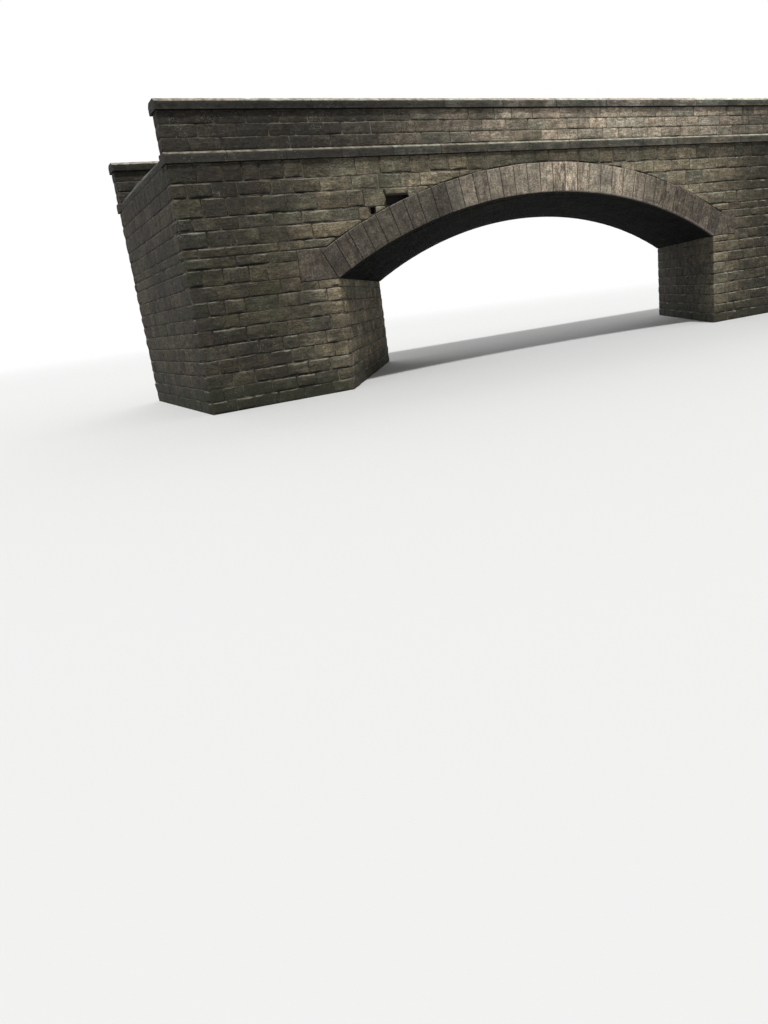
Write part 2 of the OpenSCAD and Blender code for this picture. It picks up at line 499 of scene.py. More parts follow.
MOST_SEED, MOST_SHIFT = 1 << 20, 50
TONE_SPREAD, HUE_SPREAD = 0.14, 0.22
MOST_OPEN, SOUND_SHARE = 0.026, 0.5
SMALL_BLOCK = 0.2
LEAST_OUT = 0.3
LEDGES = np.array([0.55, 1.5, 1.0])
LEDGE_GAIN, LEDGE_BASE = 1.6, 0.5
LEDGE_CELL, FINE_CELL, OUTLINE_CELL, RETURN_CELL = 0.15, 0.05, 0.11, 0.14
FINE_SEED = 7
OUTLINE_REACH, CORNER_REACH = 0.05, 0.022
# The dark lower edge is a painted shadow under each block; the pale top edge is wear and partly a painted
# highlight.
SHADOW_UNDER_EDGES = (0.5, 1.15)
PALE_ABOVE, PALE_BESIDE, DARK_UNDER, PALE_RETURN = 0.02, 0.012, 0.034, 0.016
BESIDE_SHARE = 0.75


class Mason:
    """Shapes blocks and lays them on a face."""

    def __init__(self, dressing: Dressing, seed: int) -> None:
        """Takes the dressing of its blocks and the seed of its own run of chance.

        Args:
            dressing: How the blocks are dressed.
            seed: Seed of the random numbers.
        """
        self.dressing = dressing
        self.chance = np.random.default_rng(seed)

    def tint(self, tone: float) -> Tint:
        """Picks a block's tone and hue, about a usual tone."""
        return tinted(self.chance.normal(tone, TONE_SPREAD), self.chance.normal(0.5, HUE_SPREAD))

    def open_bed(self) -> float:
        """How much of the joint under a block has washed out; nothing, for half of them."""
        return MOST_OPEN * max(0.0, self.chance.uniform(0, 1) - SOUND_SHARE) / SOUND_SHARE

    def lay(self, pile: StonePile, chart: FacePlane | VaultChart, block: Block) -> None:
        """Shapes one block and adds it to a pile.

        Args:
            pile: Where the block goes.
            chart: The face that it is laid on.
            block: Its limits and its tint.
        """
        style, chance = self.dressing, self.chance
        cols = spaced(block.finish - block.start, style.near, style.step)
        rows = spaced(block.high - block.low, style.near, style.step)
        across, upward = cols[None, :] / cols[-1], rows[:, None] / rows[-1]
        level = block.low + upward * (block.high - block.low)
        left = np.full_like(level, block.start) if block.left is None else block.left(level)
        right = np.full_like(level, block.finish) if block.right is None else block.right(level)
        along = left + across * (right - left)
        low = np.full_like(along, block.low)
        if block.floor is not None:
            low = np.maximum(low, block.floor(along))
        up = low + upward * (block.high - low)
        gaps = np.stack([along - left, right - along, up - low, block.high - up])
        rise = np.prod(1 - np.exp(-gaps / style.soft), axis=0)
        seed = int(chance.integers(1, MOST_SEED))
        shift = chance.uniform(0, MOST_SHIFT, 3)
        sample = np.stack([along, up, np.zeros_like(along)], -1) + shift
        small = min(1.0, (block.high - block.low) / SMALL_BLOCK)
        bulge = chance.uniform(style.least_bulge, style.most_bulge) * small
        ledges = sample * LEDGES
        broken = np.abs(ripple(ledges, LEDGE_CELL, seed)) * LEDGE_GAIN - LEDGE_BASE
        lean = (across - 0.5) * chance.uniform(-1, 1) + (upward - 0.5) * chance.uniform(-1, 1)
        height = style.edge_out + rise * (bulge + style.rough * broken * small + style.tilt * lean * small)
        height = height + rise * style.fine * ripple(ledges, FINE_CELL, seed + FINE_SEED)
        height = np.maximum(height, LEAST_OUT * style.edge_out)
        along, up = self._worn_outline(along, up, gaps, sample, seed)
        arris = self._edge_marks(gaps, chance.uniform(*SHADOW_UNDER_EDGES))
        place = np.stack([along - block.start, up - block.low, height], -1) + shift
        loops = self._loops_behind(chart, block, along, up, place, seed)
        pile.add_block(Rows(chart.world(along, up, height), place, arris), loops, block.tint)

    @staticmethod
    def _edge_marks(gaps: np.ndarray, damp: float) -> np.ndarray:
        """Marks the pale worn edges above and beside a block, the top one partly a painted highlight, and the
        dark one under it, a painted shadow.

        Args:
            gaps: Distances from the left, right, lower and upper edges.
            damp: How dark its lower edge is.

        Returns:
            The edge marks.
        """
        beside = BESIDE_SHARE * np.exp(-np.min(gaps[:2], axis=0) / PALE_BESIDE)
        pale = np.maximum(np.exp(-gaps[3] / PALE_ABOVE), beside)
        return marked(pale, np.minimum(damp * np.exp(-gaps[2] / DARK_UNDER), 1.0))

    def _worn_outline(self, along: np.ndarray, up: np.ndarray, gaps: np.ndarray,
                      sample: np.ndarray, seed: int) -> Grids:
        """Makes a block's outline uneven and takes off its corners.

        Args:
            along: Distances along the face.
            up: Levels.
            gaps: Distances from the left, right, lower and upper edges.
            sample: Places for the noise.
            seed: Picks the noise.

        Returns:
            The new distances and levels.
        """
        swing = self.dressing.wobble * np.exp(-np.min(gaps, axis=0) / OUTLINE_REACH)
        along = along + swing * ripple(sample, OUTLINE_CELL, seed + 1)
        up = up + swing * ripple(sample, OUTLINE_CELL, seed + 2)
        for side, inward in ((0, 1), (1, -1)):
            for edge, upward in ((2, 1), (3, -1)):
                corner = self.dressing.round_off * np.exp(-(gaps[side] + gaps[edge]) / CORNER_REACH)
                along = along + inward * corner
                up = up + upward * corner
        return along, up

    def _loops_behind(self, chart: FacePlane | VaultChart, block: Block, along: np.ndarray,
                      up: np.ndarray, place: np.ndarray, seed: int) -> list[Rows]:
        """Makes the sides of a block, and the second face of a corner stone.

        Args:
            chart: The face that the block is laid on.
            block: Its limits.
            along: Distances along the face.
            up: Levels.
            place: The front's places in the stone's own frame.
            seed: Picks the noise.

        Returns:
            Each loop behind the front.
        """
        style, quoin = self.dressing, block.quoin
        rim_a, rim_b, rim_place = around(along), around(up), around(place)
        if quoin is None:
            points = chart.world(rim_a, rim_b, -style.sunk)
            return [Rows(points, rim_place - np.array([0, 0, style.sunk]), np.ones(len(rim_a)))]
        shows = np.zeros(along.shape)
        shows[:, -1 if quoin.side > 0 else 0] = quoin.side
        shows = around(shows)
        share = (rim_a - block.start) / (block.finish - block.start)
        toward = (share if quoin.side > 0 else 1 - share).clip(0, 1)
        loops = []
        for depth in spaced(quoin.depth, style.near, style.step)[1:]:
            deep = np.full(len(rim_b), depth)
            gaps = np.stack([deep, quoin.depth - deep, rim_b - block.low, block.high - rim_b]).clip(0)
            sample = np.stack([rim_b, deep, rim_b * 0], -1) + rim_place[0]
            swell = style.most_bulge / 2 + style.rough * ripple(sample, RETURN_CELL, seed + 3)
            swell = np.minimum(np.prod(1 - np.exp(-gaps / style.soft), axis=0) * swell, style.most_swell)
            moved = rim_a + shows * swell + toward * quoin.lean * depth
            loops.append(Rows(chart.world(moved, rim_b, style.edge_out - depth),
                              rim_place - np.array([0, 0, depth]),
                              np.exp(-np.min(gaps, axis=0) / PALE_RETURN)))
        return loops


@dataclass(frozen=True)
class Coursing:
    """How a wall is divided into courses and blocks."""

    beds: tuple[float, ...]
    shortest: float = 0.42
    longest: float = 0.95
    joint: float = 0.019
    lap: float = 0.12
    overlong: float = 1.15
    seen_clear: float = 0.05
    tries: int = 14

    def blocks(self, mason: Mason, spans: Iterable[Span], tone: float,
               opens: bool = False) -> Iterator[tuple[Block, bool, bool]]:
        """Divides the courses, from the lowest up, and picks each block's limits and tint.

        Args:
            mason: Who picks them.
            spans: Start and finish of each course.
            tone: The usual tone.
            opens: Whether some of the joints under the blocks have washed out.

        Yields:
            A block, and whether it is the first and the last of its course.
        """
        gap = self.joint / 2
        below: list[float] = []
        for (low, high), (start, finish) in zip(pairwise(self.beds), spans):
            below = self.divide(start, finish, below, mason.chance)
            for first, last in pairwise(below):
                tint = mason.tint(tone)
                bed = low + gap + (mason.open_bed() if opens else 0.0)
                yield Block(first + gap, last - gap, bed, high - gap, tint), first == start, last == finish

    def divide(self, start: float, finish: float, below: list[float], chance: np.random.Generator,
               seen: Iterable[float] = ()) -> list[float]:
        """Places the upright joints of one course.

        Args:
            start: Start of the course.
            finish: Its end.
            below: Joints of the course below, which these keep clear of.
            chance: Source of the lengths.
            seen: Joints whose places are known.

        Returns:
            All the joints, with both ends.
        """
        inner = [s for s in seen if start + self.seen_clear < s < finish - self.seen_clear]
        joints = [start]
        for stop in sorted([start, finish] + inner)[1:]:
            while stop - joints[-1] > self.longest * self.overlong:
                joints.append(self._next(joints[-1], stop, below, chance))
            joints.append(stop)
        return joints

    def _next(self, here: float, stop: float, below: list[float], chance: np.random.Generator) -> float:
        """Picks the next joint, clear of the joints below and of too short a last block.

        Args:
            here: The joint before it.
            stop: Where the run ends.
            below: Joints of the course below.
            chance: Source of the lengths.

        Returns:
            The place of the joint.
        """
        best, room = here + self.longest, -1.0
        for _ in range(self.tries):
            trial = here + chance.uniform(self.shortest, self.longest)
            if stop - trial < self.shortest:
                trial = here + (stop - here) / 2
            clear = min([abs(trial - b) for b in below], default=1.0)
            if clear > room:
                best, room = trial, clear
            if clear > self.lap:
                break
        return best


@dataclass(frozen=True)
class Pocket:
    """A hole in the near wall where a stone has fallen out."""

    start: float
    finish: float
    low: float
    high: float

    def level_with(self, low: float, high: float) -> bool:
        """Whether the pocket opens between two levels."""
        return low < self.high and high > self.low


@dataclass(frozen=True)
class CornerStyle:
    """Lengths and depths of corner stones in alternate courses."""

    lengths: tuple[float, float]
    depths: tuple[float, float]
    lean: float = 0.0


END_CORNER = CornerStyle((0.66, 0.36), (0.3, 0.56))
MOUTH_CORNER_WIDE = CornerStyle((0.6, 0.4), (0.3, 0.45), math.tan(ARCH.skew))
MOUTH_CORNER_SHARP = CornerStyle((0.74, 0.6), (0.24, 0.38), math.tan(ARCH.skew))
WALL_BEDS = (0.0, 0.31, 0.63, 0.98, 1.35, 1.70, 2.08, 2.42, 2.78, 3.14, 3.54, 3.81,
             4.04, 4.43, 4.74, 5.18, 5.53, 5.974)
MOUTH_BEDS = tuple(bed for bed in WALL_BEDS if bed < ARCH.springing) + (ARCH.springing,)
# Upright joints that show in the photograph, by course from the ground.
SEEN_JOINTS = {
    9: (-12.92, -12.23),
    10: (-12.53,),
    11: (-12.74, -12.19),
    12: (-9.31,),
    13: (-9.75, -8.92, -8.56, -8.41),
    14: (-9.23, -8.05, -7.33),
}
POCKETS = (Pocket(-8.05, -7.33, 4.74, 4.99), Pocket(-8.56, -8.41, 4.54, 4.72))
WALL_SEEDS = {Side.NEAR: 11, Side.FAR: 23}
PARAPET_SEEDS = {Side.NEAR: (71, 76), Side.FAR: (83, 88)}
RING_SEEDS = {Side.NEAR: 131, Side.FAR: 137}
LEAST_HEIGHT = 0.06
BACK_JOINT = 0.012
OVER_RING = 0.6
RING_PROBES = 4001
MOST_BROKEN, BROKEN_BASE, BROKEN_SWING, BROKEN_CELL, BROKEN_SEED = 0.07, 0.45, 0.6, 0.1, 5
TOUCHING = 1e-6
AT_POCKET = 0.01


@dataclass
class SideWall:
    """The coursed blocks of one side wall, from the ground to the string course."""

    side: Side
    levels: Levels
    tone: float = 0.5
    coursing: Coursing = Coursing(WALL_BEDS)
    dressing: Dressing = Dressing()
    corner: CornerStyle = END_CORNER

    def __post_init__(self) -> None:
        """Takes up the wall's face, its own run of chance and a pile for each half."""
        self.mason = Mason(self.dressing, WALL_SEEDS[self.side])
        self.plane = FacePlane((0.0, -ARCH.half_width), (0.0, -1.0), self.side.value)
        self.piles = (StonePile(), StonePile())

    def build(self, material: Material) -> None:
        """Lays every course and makes one piece left and one right of the arch's middle.

        Args:
            material: Finish of the blocks.
        """
        below: list[float] = []
        for number in range(len(self.coursing.beds) - 1):
            joints: list[float] = []
            for start, finish, mouth in self._runs(number):
                run = self.coursing.divide(start, finish, below, self.mason.chance, self._known(number))
                joints += run
                self._lay_run(number, run, mouth)
            below = joints
        hands = ("left", "right") if self.side is Side.NEAR else ("right", "left")
        for pile, hand in zip(self.piles, hands):
            pile.build(f"wall_blocks_{self.side.word}_{hand}", material, "wall_stone")

    def _known(self, number: int) -> list[float]:
        """Joints whose places are set: those seen, and those of corners and springers.

        Args:
            number: Number of the course, from the ground.

        Returns:
            Their distances along the face.
        """
        end, odd, shift = self.levels.wall_end, number % 2, ARCH.face_shift
        low, high = self.coursing.beds[number], self.coursing.beds[number + 1]
        known = [-end + self.corner.lengths[odd], end - self.corner.lengths[odd]]
        if low < ARCH.springing < high:
            known += [-ARCH.springer_end - shift, ARCH.springer_end - shift]
        if low < ARCH.springing:
            known += [-ARCH.face_half_span - shift - MOUTH_CORNER_WIDE.lengths[odd],
                      ARCH.face_half_span - shift + MOUTH_CORNER_SHARP.lengths[odd]]
        if self.side is Side.NEAR:
            known += SEEN_JOINTS.get(number, ())
        return known

    def _runs(self, number: int) -> list[tuple[float, float, bool]]:
        """The stretches of wall in one course.

        Args:
            number: Number of the course, from the ground.

        Returns:
            Start and finish of each, and whether it ends at the arch's mouth.
        """
        end = self.levels.wall_end
        low, high = self.coursing.beds[number], self.coursing.beds[number + 1]
        if low < ARCH.springing:
            reach, mouth = ARCH.face_half_span, True
        elif high <= ARCH.springer_top:
            reach, mouth = ARCH.springer_end, False
        else:
            probe = np.linspace(-ARCH.springer_end, ARCH.springer_end, RING_PROBES) - ARCH.face_shift
            covered = probe[ARCH.ring_back(probe) + BACK_JOINT > high - LEAST_HEIGHT]
            if len(covered) == 0:
                return [(-end, end, False)]
            return [(-end, float(covered[0]), False), (float(covered[-1]), end, False)]
        return [(-end, -reach - ARCH.face_shift, mouth), (reach - ARCH.face_shift, end, mouth)]

    def _corner(self, first: float, last: float, run: list[float], mouth: bool) -> tuple[int, CornerStyle]:
        """Finds which end of a block is a corner of the wall.

        Args:
            first: The block's first joint.
            last: Its last joint.
            run: All the joints of its stretch.
            mouth: Whether the stretch ends at the arch's mouth.

        Returns:
            -1 or 1 for a corner at the first or the last joint and 0 for none, and its style.
        """
        if abs(first + self.levels.wall_end) < TOUCHING:
            return -1, self.corner
        if abs(last - self.levels.wall_end) < TOUCHING:
            return 1, self.corner
        if mouth and last == run[-1] and last < -ARCH.face_shift:
            return 1, MOUTH_CORNER_WIDE
        if mouth and first == run[0] and first > -ARCH.face_shift:
            return -1, MOUTH_CORNER_SHARP
        return 0, self.corner

    def _lay_run(self, number: int, run: list[float], mouth: bool) -> None:
        """Lays the blocks of one stretch.

        Args:
            number: Number of the course.
            run: Its joints.
            mouth: Whether the stretch ends at the arch's mouth.
        """
        gap, proud = self.coursing.joint / 2, self.dressing.edge_out
        low, high = self.coursing.beds[number], self.coursing.beds[number + 1]
        for first, last in pairwise(run):
            middle = (first + last) / 2
            from_mouth = abs(middle + ARCH.face_shift)
            side, corner = self._corner(first, last, run, mouth)
            quoin = Quoin(side, corner.depths[number % 2], corner.lean) if side else None
            start = first - proud if side < 0 else first + gap
            finish = last + proud if side > 0 else last - gap
            top = ARCH.springing if low < ARCH.springing < high and from_mouth < ARCH.springer_end else high
            floor = None
            if high > ARCH.springer_top and from_mouth < ARCH.springer_end + OVER_RING:
                floor = self._above_ring
            right = partial(self._broken_beside, finish) if self._meets_pocket(last, low, top) else None
            pile = self.piles[0] if middle < -ARCH.face_shift else self.piles[1]
            for bottom, ceiling in self._beside_pockets(start, finish, low, top):
                tint, bed = self.mason.tint(self.tone), bottom + gap + self.mason.open_bed()
                edge = floor if bottom == low else partial(self._broken_under, bottom)
                block = Block(start, finish, bed, ceiling - gap, tint, edge, right=right, quoin=quoin)
                self.mason.lay(pile, self.plane, block)

    @staticmethod
    def _above_ring(along: np.ndarray) -> np.ndarray:
        """The lowest level for a block over the ring."""
        return ARCH.ring_back(along) + BACK_JOINT

    @staticmethod
    def _broken(places: np.ndarray) -> np.ndarray:
        """How much has broken away from an edge.

        Args:
            places: Places along it.

        Returns:
            The depth of the break at each.
        """
        spots = np.stack([places, np.zeros_like(places), np.zeros_like(places)], -1)
        swing = BROKEN_SWING * ripple(spots, BROKEN_CELL, BROKEN_SEED)
        return MOST_BROKEN * np.clip(BROKEN_BASE + swing, 0, 1)

    def _broken_under(self, level: float, along: np.ndarray) -> np.ndarray:
        """The broken underside of a block over a pocket."""
        return np.maximum(self._above_ring(along), level + self._broken(along))

    def _broken_beside(self, finish: float, level: np.ndarray) -> np.ndarray:
        """The broken end of a block beside a pocket."""
        return finish - self._broken(level)

    def _meets_pocket(self, finish: float, low: float, high: float) -> bool:
        """Whether a block's right end stands beside a pocket.

        Args:
            finish: The joint at its end.
            low: Its bed.
            high: The bed above.

        Returns:
            True where a pocket starts at that joint.
        """
        return self.side is Side.NEAR and any(
            abs(finish - pocket.start) < AT_POCKET and pocket.level_with(low, high) for pocket in POCKETS)

    def _beside_pockets(self, start: float, finish: float, low: float, high: float) -> list[Span]:
        """The parts of a block's height that a fallen stone has left.

        Args:
            start: Start of the block.
            finish: Its end.
            low: Its bed.
            high: The bed above.

        Returns:
            Bottom and top of each part.
        """
        for pocket in POCKETS if self.side is Side.NEAR else ():
            if pocket.start < (start + finish) / 2 < pocket.finish and pocket.level_with(low, high):
                parts = [(low, pocket.low), (pocket.high, high)]
                return [part for part in parts if part[1] - part[0] > LEAST_HEIGHT]
        return [(low, high)]


@dataclass
class MouthWall:
    """The blocks of an abutment's face under the arch, from the near corner to the far one."""

    turn: int
    name: str
    tone: float = 0.42
    seed: int = 41
    coursing: Coursing = Coursing(MOUTH_BEDS)
    dressing: Dressing = Dressing(most_bulge=0.022)

    def build(self, material: Material) -> None:
        """Lays the courses of the face.

        Args:
            material: Finish of the blocks.
        """
        cos, sin = math.cos(ARCH.skew), math.sin(ARCH.skew)
        plane = FacePlane((-ARCH.face_half_span, 0.0), (cos, -sin), self.turn)
        mason, pile = Mason(self.dressing, self.seed + self.turn), StonePile()
        reach = ARCH.half_width / cos
        corners = cycle(zip(MOUTH_CORNER_WIDE.depths, MOUTH_CORNER_SHARP.depths))
        spans = ((-reach + wide / cos, reach - sharp / cos) for wide, sharp in corners)
        for block, _, _ in self.coursing.blocks(mason, spans, self.tone, opens=True):
            mason.lay(pile, plane, block)
        pile.build(self.name, material, "wall_stone")


@dataclass
class EndFace:
    """The blocks of a cut end of the bridge, between the corner stones of both side walls."""

    turn: int
    name: str
    levels: Levels
    tone: float = 0.48
    seed: int = 57
    coursing: Coursing = Coursing(WALL_BEDS)
    dressing: Dressing = Dressing(most_bulge=0.018, rough=0.007, fine=0.004)
    road_cover: float = 0.07

    def build(self, material: Material) -> None:
        """Lays the courses of the end, and the one that closes the road between the parapets.

        Args:
            material: Finish of the blocks.
        """
        plane = FacePlane((self.levels.wall_end, 0.0), (1.0, 0.0), self.turn)
        mason, pile = Mason(self.dressing, self.seed + self.turn), StonePile()
        reaches = (ARCH.half_width - depth for depth in cycle(END_CORNER.depths))
        for block, _, _ in self.coursing.blocks(mason, ((-reach, reach) for reach in reaches), self.tone):
            mason.lay(pile, plane, block)
        road_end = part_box("roadway")[1].z - self.road_cover
        course = replace(self.coursing, beds=(self.levels.wall_top, road_end))
        reach = self.levels.parapet_back
        for block, _, _ in course.blocks(mason, [(-reach, reach)], self.tone):
            mason.lay(pile, plane, replace(block, high=road_end))
        pile.build(self.name, material, "wall_stone")


@dataclass
class Parapet:
    """The three courses between the string course and the coping, seen from both sides."""

    side: Side
    levels: Levels
    tone: float = 0.52
    courses: int = 3
    spare: float = 0.004
    coursing: Coursing = Coursing((), shortest=0.5, longest=1.05, joint=0.016)
    dressing: Dressing = Dressing(most_bulge=0.026, rough=0.01, fine=0.005)

    def build(self, material: Material) -> None:
        """Lays the outer and the inner face.

        Args:
            material: Finish of the blocks.
        """
        low, high = self.levels.string_top, self.levels.coping_bed
        beds = tuple(low + (high - low) * i / self.courses for i in range(self.courses + 1))
        coursing, pile = replace(self.coursing, beds=beds), StonePile()
        end, proud, back = self.levels.wall_end, self.dressing.edge_out, self.levels.parapet_back
        depth = (ARCH.half_width - back) / 2 - self.spare
        outer = FacePlane((0.0, -ARCH.half_width), (0.0, -1.0), self.side.value)
        inner = FacePlane((0.0, -back), (0.0, 1.0), self.side.value)
        for plane, seed in zip((outer, inner), PARAPET_SEEDS[self.side]):
            mason = Mason(self.dressing, seed)
            for block, first, last in coursing.blocks(mason, repeat((-end, end)), self.tone):
                if first:
                    block = replace(block, start=-end - proud, quoin=Quoin(-1, depth))
                elif last:
                    block = replace(block, finish=end + proud, quoin=Quoin(1, depth))
                mason.lay(pile, plane, block)
        pile.build(f"parapet_blocks_{self.side.word}", material, "wall_stone")


@dataclass
class Vault:
    """The courses of the vault's underside, laid along its axis."""

    course: float = 0.363
    tone: float = 0.45
    seed: int = 97
    coursing: Coursing = Coursing((), shortest=0.6, longest=1.15, joint=0.014)
    dressing: Dressing = Dressing(
        edge_out=0.008, least_bulge=0.0, most_bulge=0.012, rough=0.005, fine=0.003, step=0.12,
        near=(0.0, 0.01, 0.03), sunk=0.03, round_off=0.008, wobble=0.004)

    def build(self, material: Material) -> None:
        """Lays the courses from springing to springing.

        Args:
            material: Finish of the stones.
        """
        mason, chart, pile = Mason(self.dressing, self.seed), VaultChart(), StonePile()
        arc = 2 * ARCH.half_angle * ARCH.radius
        beds = np.linspace(-arc / 2, arc / 2, round(arc / self.course) + 1).tolist()
        coursing = replace(self.coursing, beds=tuple(beds))
        middles = [(low + high) / 2 for low, high in pairwise(beds)]
        spans = [(float(self.edge(middle, -1)), float(self.edge(middle, 1))) for middle in middles]
        for block, first, last in coursing.blocks(mason, spans, self.tone):
            left, right = self._near_edge if first else None, self._far_edge if last else None
            mason.lay(pile, chart, replace(block, left=left, right=right))
        pile.build("vault_stones", material, "soffit_stone")

    @staticmethod
    def edge(arc: np.ndarray | float, side: int) -> np.ndarray | float:
        """Where the vault meets the back of a ring.

        Args:
            arc: Arc lengths from the crown.
            side: -1 at the near ring, 1 at the far one.

        Returns:
            Distances along the vault's axis.
        """
        across = ARCH.radius * np.sin(arc / ARCH.radius)
        return (side * ARCH.inner_half + across * math.sin(ARCH.skew)) / math.cos(ARCH.skew)

    def _near_edge(self, arc: np.ndarray) -> np.ndarray:
        """The near end of a course, short of the ring by a joint."""
        return self.edge(arc, -1) + self.coursing.joint / 2

    def _far_edge(self, arc: np.ndarray) -> np.ndarray:
        """The far end of a course, short of the ring by a joint."""
        return self.edge(arc, 1) - self.coursing.joint / 2


WORN_FACE = ((0.0022, 0.16), (0.0012, 0.05))
CHIP_CELL, CHIP_FROM, MOST_CHIP, CHIP_REACH = 0.07, 0.35, 0.012, 0.02
MOST_ROUNDING = 1.3
# The ring's pale top and lower edges are wear and partly a painted highlight; its dark joints are its own.
FACE_TOP_SHARE, FACE_TOP_FADE, WASHED_AND_HIGHLIGHT_FADE, JOINT_DARK = 0.7, 0.02, 0.055, 0.013
UNDERSIDE_FADE, SIDE_FADE = 0.11, 0.03
LEAST_WASHED_AND_HIGHLIGHT = 0.25
WASHED_AND_HIGHLIGHT_MIDDLE, WASHED_AND_HIGHLIGHT_SPREAD = 0.7, 12
BLEACHED_STONE, BLEACHED_SPREAD, MOST_BLEACHED = 4, 4, 0.25
RING_TONE, RING_HUE, HUE_PER_STONE = (0.42, 0.13), (0.45, 0.2), 0.022
SPRINGER_TONE = (0.45, 0.1)


@dataclass
class ArchRing:
    """The cut stones round one mouth of the arch, with the springers that carry them."""

    side: Side
    proud: float = 0.03
    joint: float = 0.012
    arris: float = 0.011
    arris_width: float = 0.009
    most_step: float = 0.009
    most_short: float = 0.014
    underside_out: float = 0.006
    bed_joint: float = 0.006
    near: tuple[float, ...] = (0.0, 0.006, 0.014, 0.03)
    step: float = 0.06
    springer_step: float = 0.09
    depths: tuple[float, ...] = (0.012, 0.03, 0.1, 0.2, 0.32, 0.44, 0.54, 0.594)

    def __post_init__(self) -> None:
        """Takes up the ring's face, its own run of chance and its pile."""
        self.plane = FacePlane((-ARCH.face_shift, -ARCH.half_width), (0.0, -1.0), self.side.value)
        self.chance = np.random.default_rng(RING_SEEDS[self.side])
        self.pile = StonePile()

    def build(self, material: Material) -> None:
        """Cuts the ring stones, the keystone and both springers.

        Args:
            material: Finish of the stones.
        """
        for number in range(-ARCH.stones_each_side, ARCH.stones_each_side + 1):
            self._cut_ring_stone(number)
        for hand in (-1, 1):
            self._cut_springer(hand)
        word = self.side.word
        nodes = [f"keystone_{word}"]
        nodes += [f"{kind}_{word}_{end}" for kind in ("ring", "springer") for end in ("left", "right")]
        self.pile.build(f"ring_stones_{word}", material, "ring_stone", nodes)

    def _face_relief(self, gaps: np.ndarray, sample: np.ndarray, seed: int) -> np.ndarray:
        """How far a cut face stands out of the wall's plane.

        Args:
            gaps: Distances from the four edges.
            sample: Places for the noise.
            seed: Picks the noise.

        Returns:
            The distance out at each point.
        """
        rounding = self.arris * np.sum(np.exp(-gaps / self.arris_width), axis=0)
        worn = sum(deep * ripple(sample, cell, seed + i) for i, (deep, cell) in enumerate(WORN_FACE))
        chipped = MOST_CHIP * np.clip(ripple(sample, CHIP_CELL, seed + 2) - CHIP_FROM, 0, 1)
        chipped = chipped * np.exp(-np.min(gaps, axis=0) / CHIP_REACH)
        rounding = np.minimum(rounding, MOST_ROUNDING * self.arris)
        return self.proud - rounding + worn - chipped - self.most_step / 2

    @staticmethod
    def _edge_marks(gaps: np.ndarray, washed_and_painted_light: float) -> np.ndarray:
        """Marks the pale worn edges above and below, partly a painted highlight, and the dark ones along the
        joints.

        Args:
            gaps: Distances from the left, right, lower and upper edges.
            washed_and_painted_light: How pale the lower edge is, 0 to 1.

        Returns:
            The edge marks.
        """
        above = FACE_TOP_SHARE * np.exp(-gaps[3] / FACE_TOP_FADE)
        pale = np.maximum(above, washed_and_painted_light * np.exp(-(gaps[2] / WASHED_AND_HIGHLIGHT_FADE) ** 2))
        return marked(pale, np.exp(-np.min(gaps[:2], axis=0) / JOINT_DARK))

    def _add(self, where: Callable[..., Grids], share_a: np.ndarray, share_b: np.ndarray,
             front: Rows, out: np.ndarray, fade: np.ndarray | float, tint: Tint) -> None:
        """Takes a cut face back into the wall and adds the stone to the pile.

        Args:
            where: Gives the places at two shares and a depth.
            share_a: Share of the way across of each point of the face.
            share_b: Share of the way up.
            front: The face.
            out: Its distances out from the wall's plane.
            fade: How deep the edge marks reach.
            tint: The stone's tone and hue.
        """
        rim_a, rim_b, rim_out = around(share_a), around(share_b), around(out)
        loops = []
        for depth in self.depths:
            x, z = where(rim_a, rim_b, max(0.0, depth - self.proud))
            loops.append(Rows(self.plane.world(x, z, np.minimum(rim_out, self.proud) - depth),
                              around(front.places) - np.array([0, 0, depth]),
                              around(front.arris) * np.exp(-depth / fade)))
        self.pile.add_block(front, loops, tint)

    def _cut_ring_stone(self, number: int) -> None:
        """Cuts one stone of the ring, or the keystone.

        Args:
            number: Its place from the keystone, negative to the left.
        """
        chance = self.chance
        first, last = (number - 0.5) * ARCH.stone_angle, (number + 0.5) * ARCH.stone_angle
        width = ARCH.radius * ARCH.stone_angle * ARCH.stretch
        cols = spaced(width, self.near, self.step)
        rows = spaced(ARCH.ring_depth, self.near, self.step)
        share_a, share_b = np.meshgrid(cols / cols[-1], rows / rows[-1])
        back = ARCH.ring_depth - chance.uniform(0, self.most_short)
        step = chance.uniform(-1, 1) * self.most_step / 2
        seed = int(chance.integers(1, MOST_SEED))
        shift = chance.uniform(0, MOST_SHIFT, 3)
        where = partial(self._on_stone, first, last, back)
        x, z = where(share_a, share_b, 0.0)
        sample = np.stack([x, z, np.zeros_like(x)], -1) + shift
        gaps = np.stack([share_a * width, (1 - share_a) * width, share_b * back, (1 - share_b) * back])
        out = self._face_relief(gaps, sample, seed) + step
        place = np.stack([share_a * width, share_b * back, out], -1) + shift
        # The lower edge is paler towards the right: wear, and a painted highlight.
        washed_and_painted_light = float(np.clip(WASHED_AND_HIGHLIGHT_MIDDLE + number / WASHED_AND_HIGHLIGHT_SPREAD, LEAST_WASHED_AND_HIGHLIGHT, 1.0))
        front = Rows(self.plane.world(x, z, out), place, self._edge_marks(gaps, washed_and_painted_light))
        bleached = MOST_BLEACHED * math.exp(-(((number - BLEACHED_STONE) / BLEACHED_SPREAD) ** 2))
        tone = chance.normal(*RING_TONE) + bleached
        tint = tinted(tone, RING_HUE[0] + HUE_PER_STONE * number + chance.normal(0, RING_HUE[1]))
        fade = np.where(around(share_b) == 0, UNDERSIDE_FADE, SIDE_FADE)
        self._add(where, share_a, share_b, front, out, fade, tint)

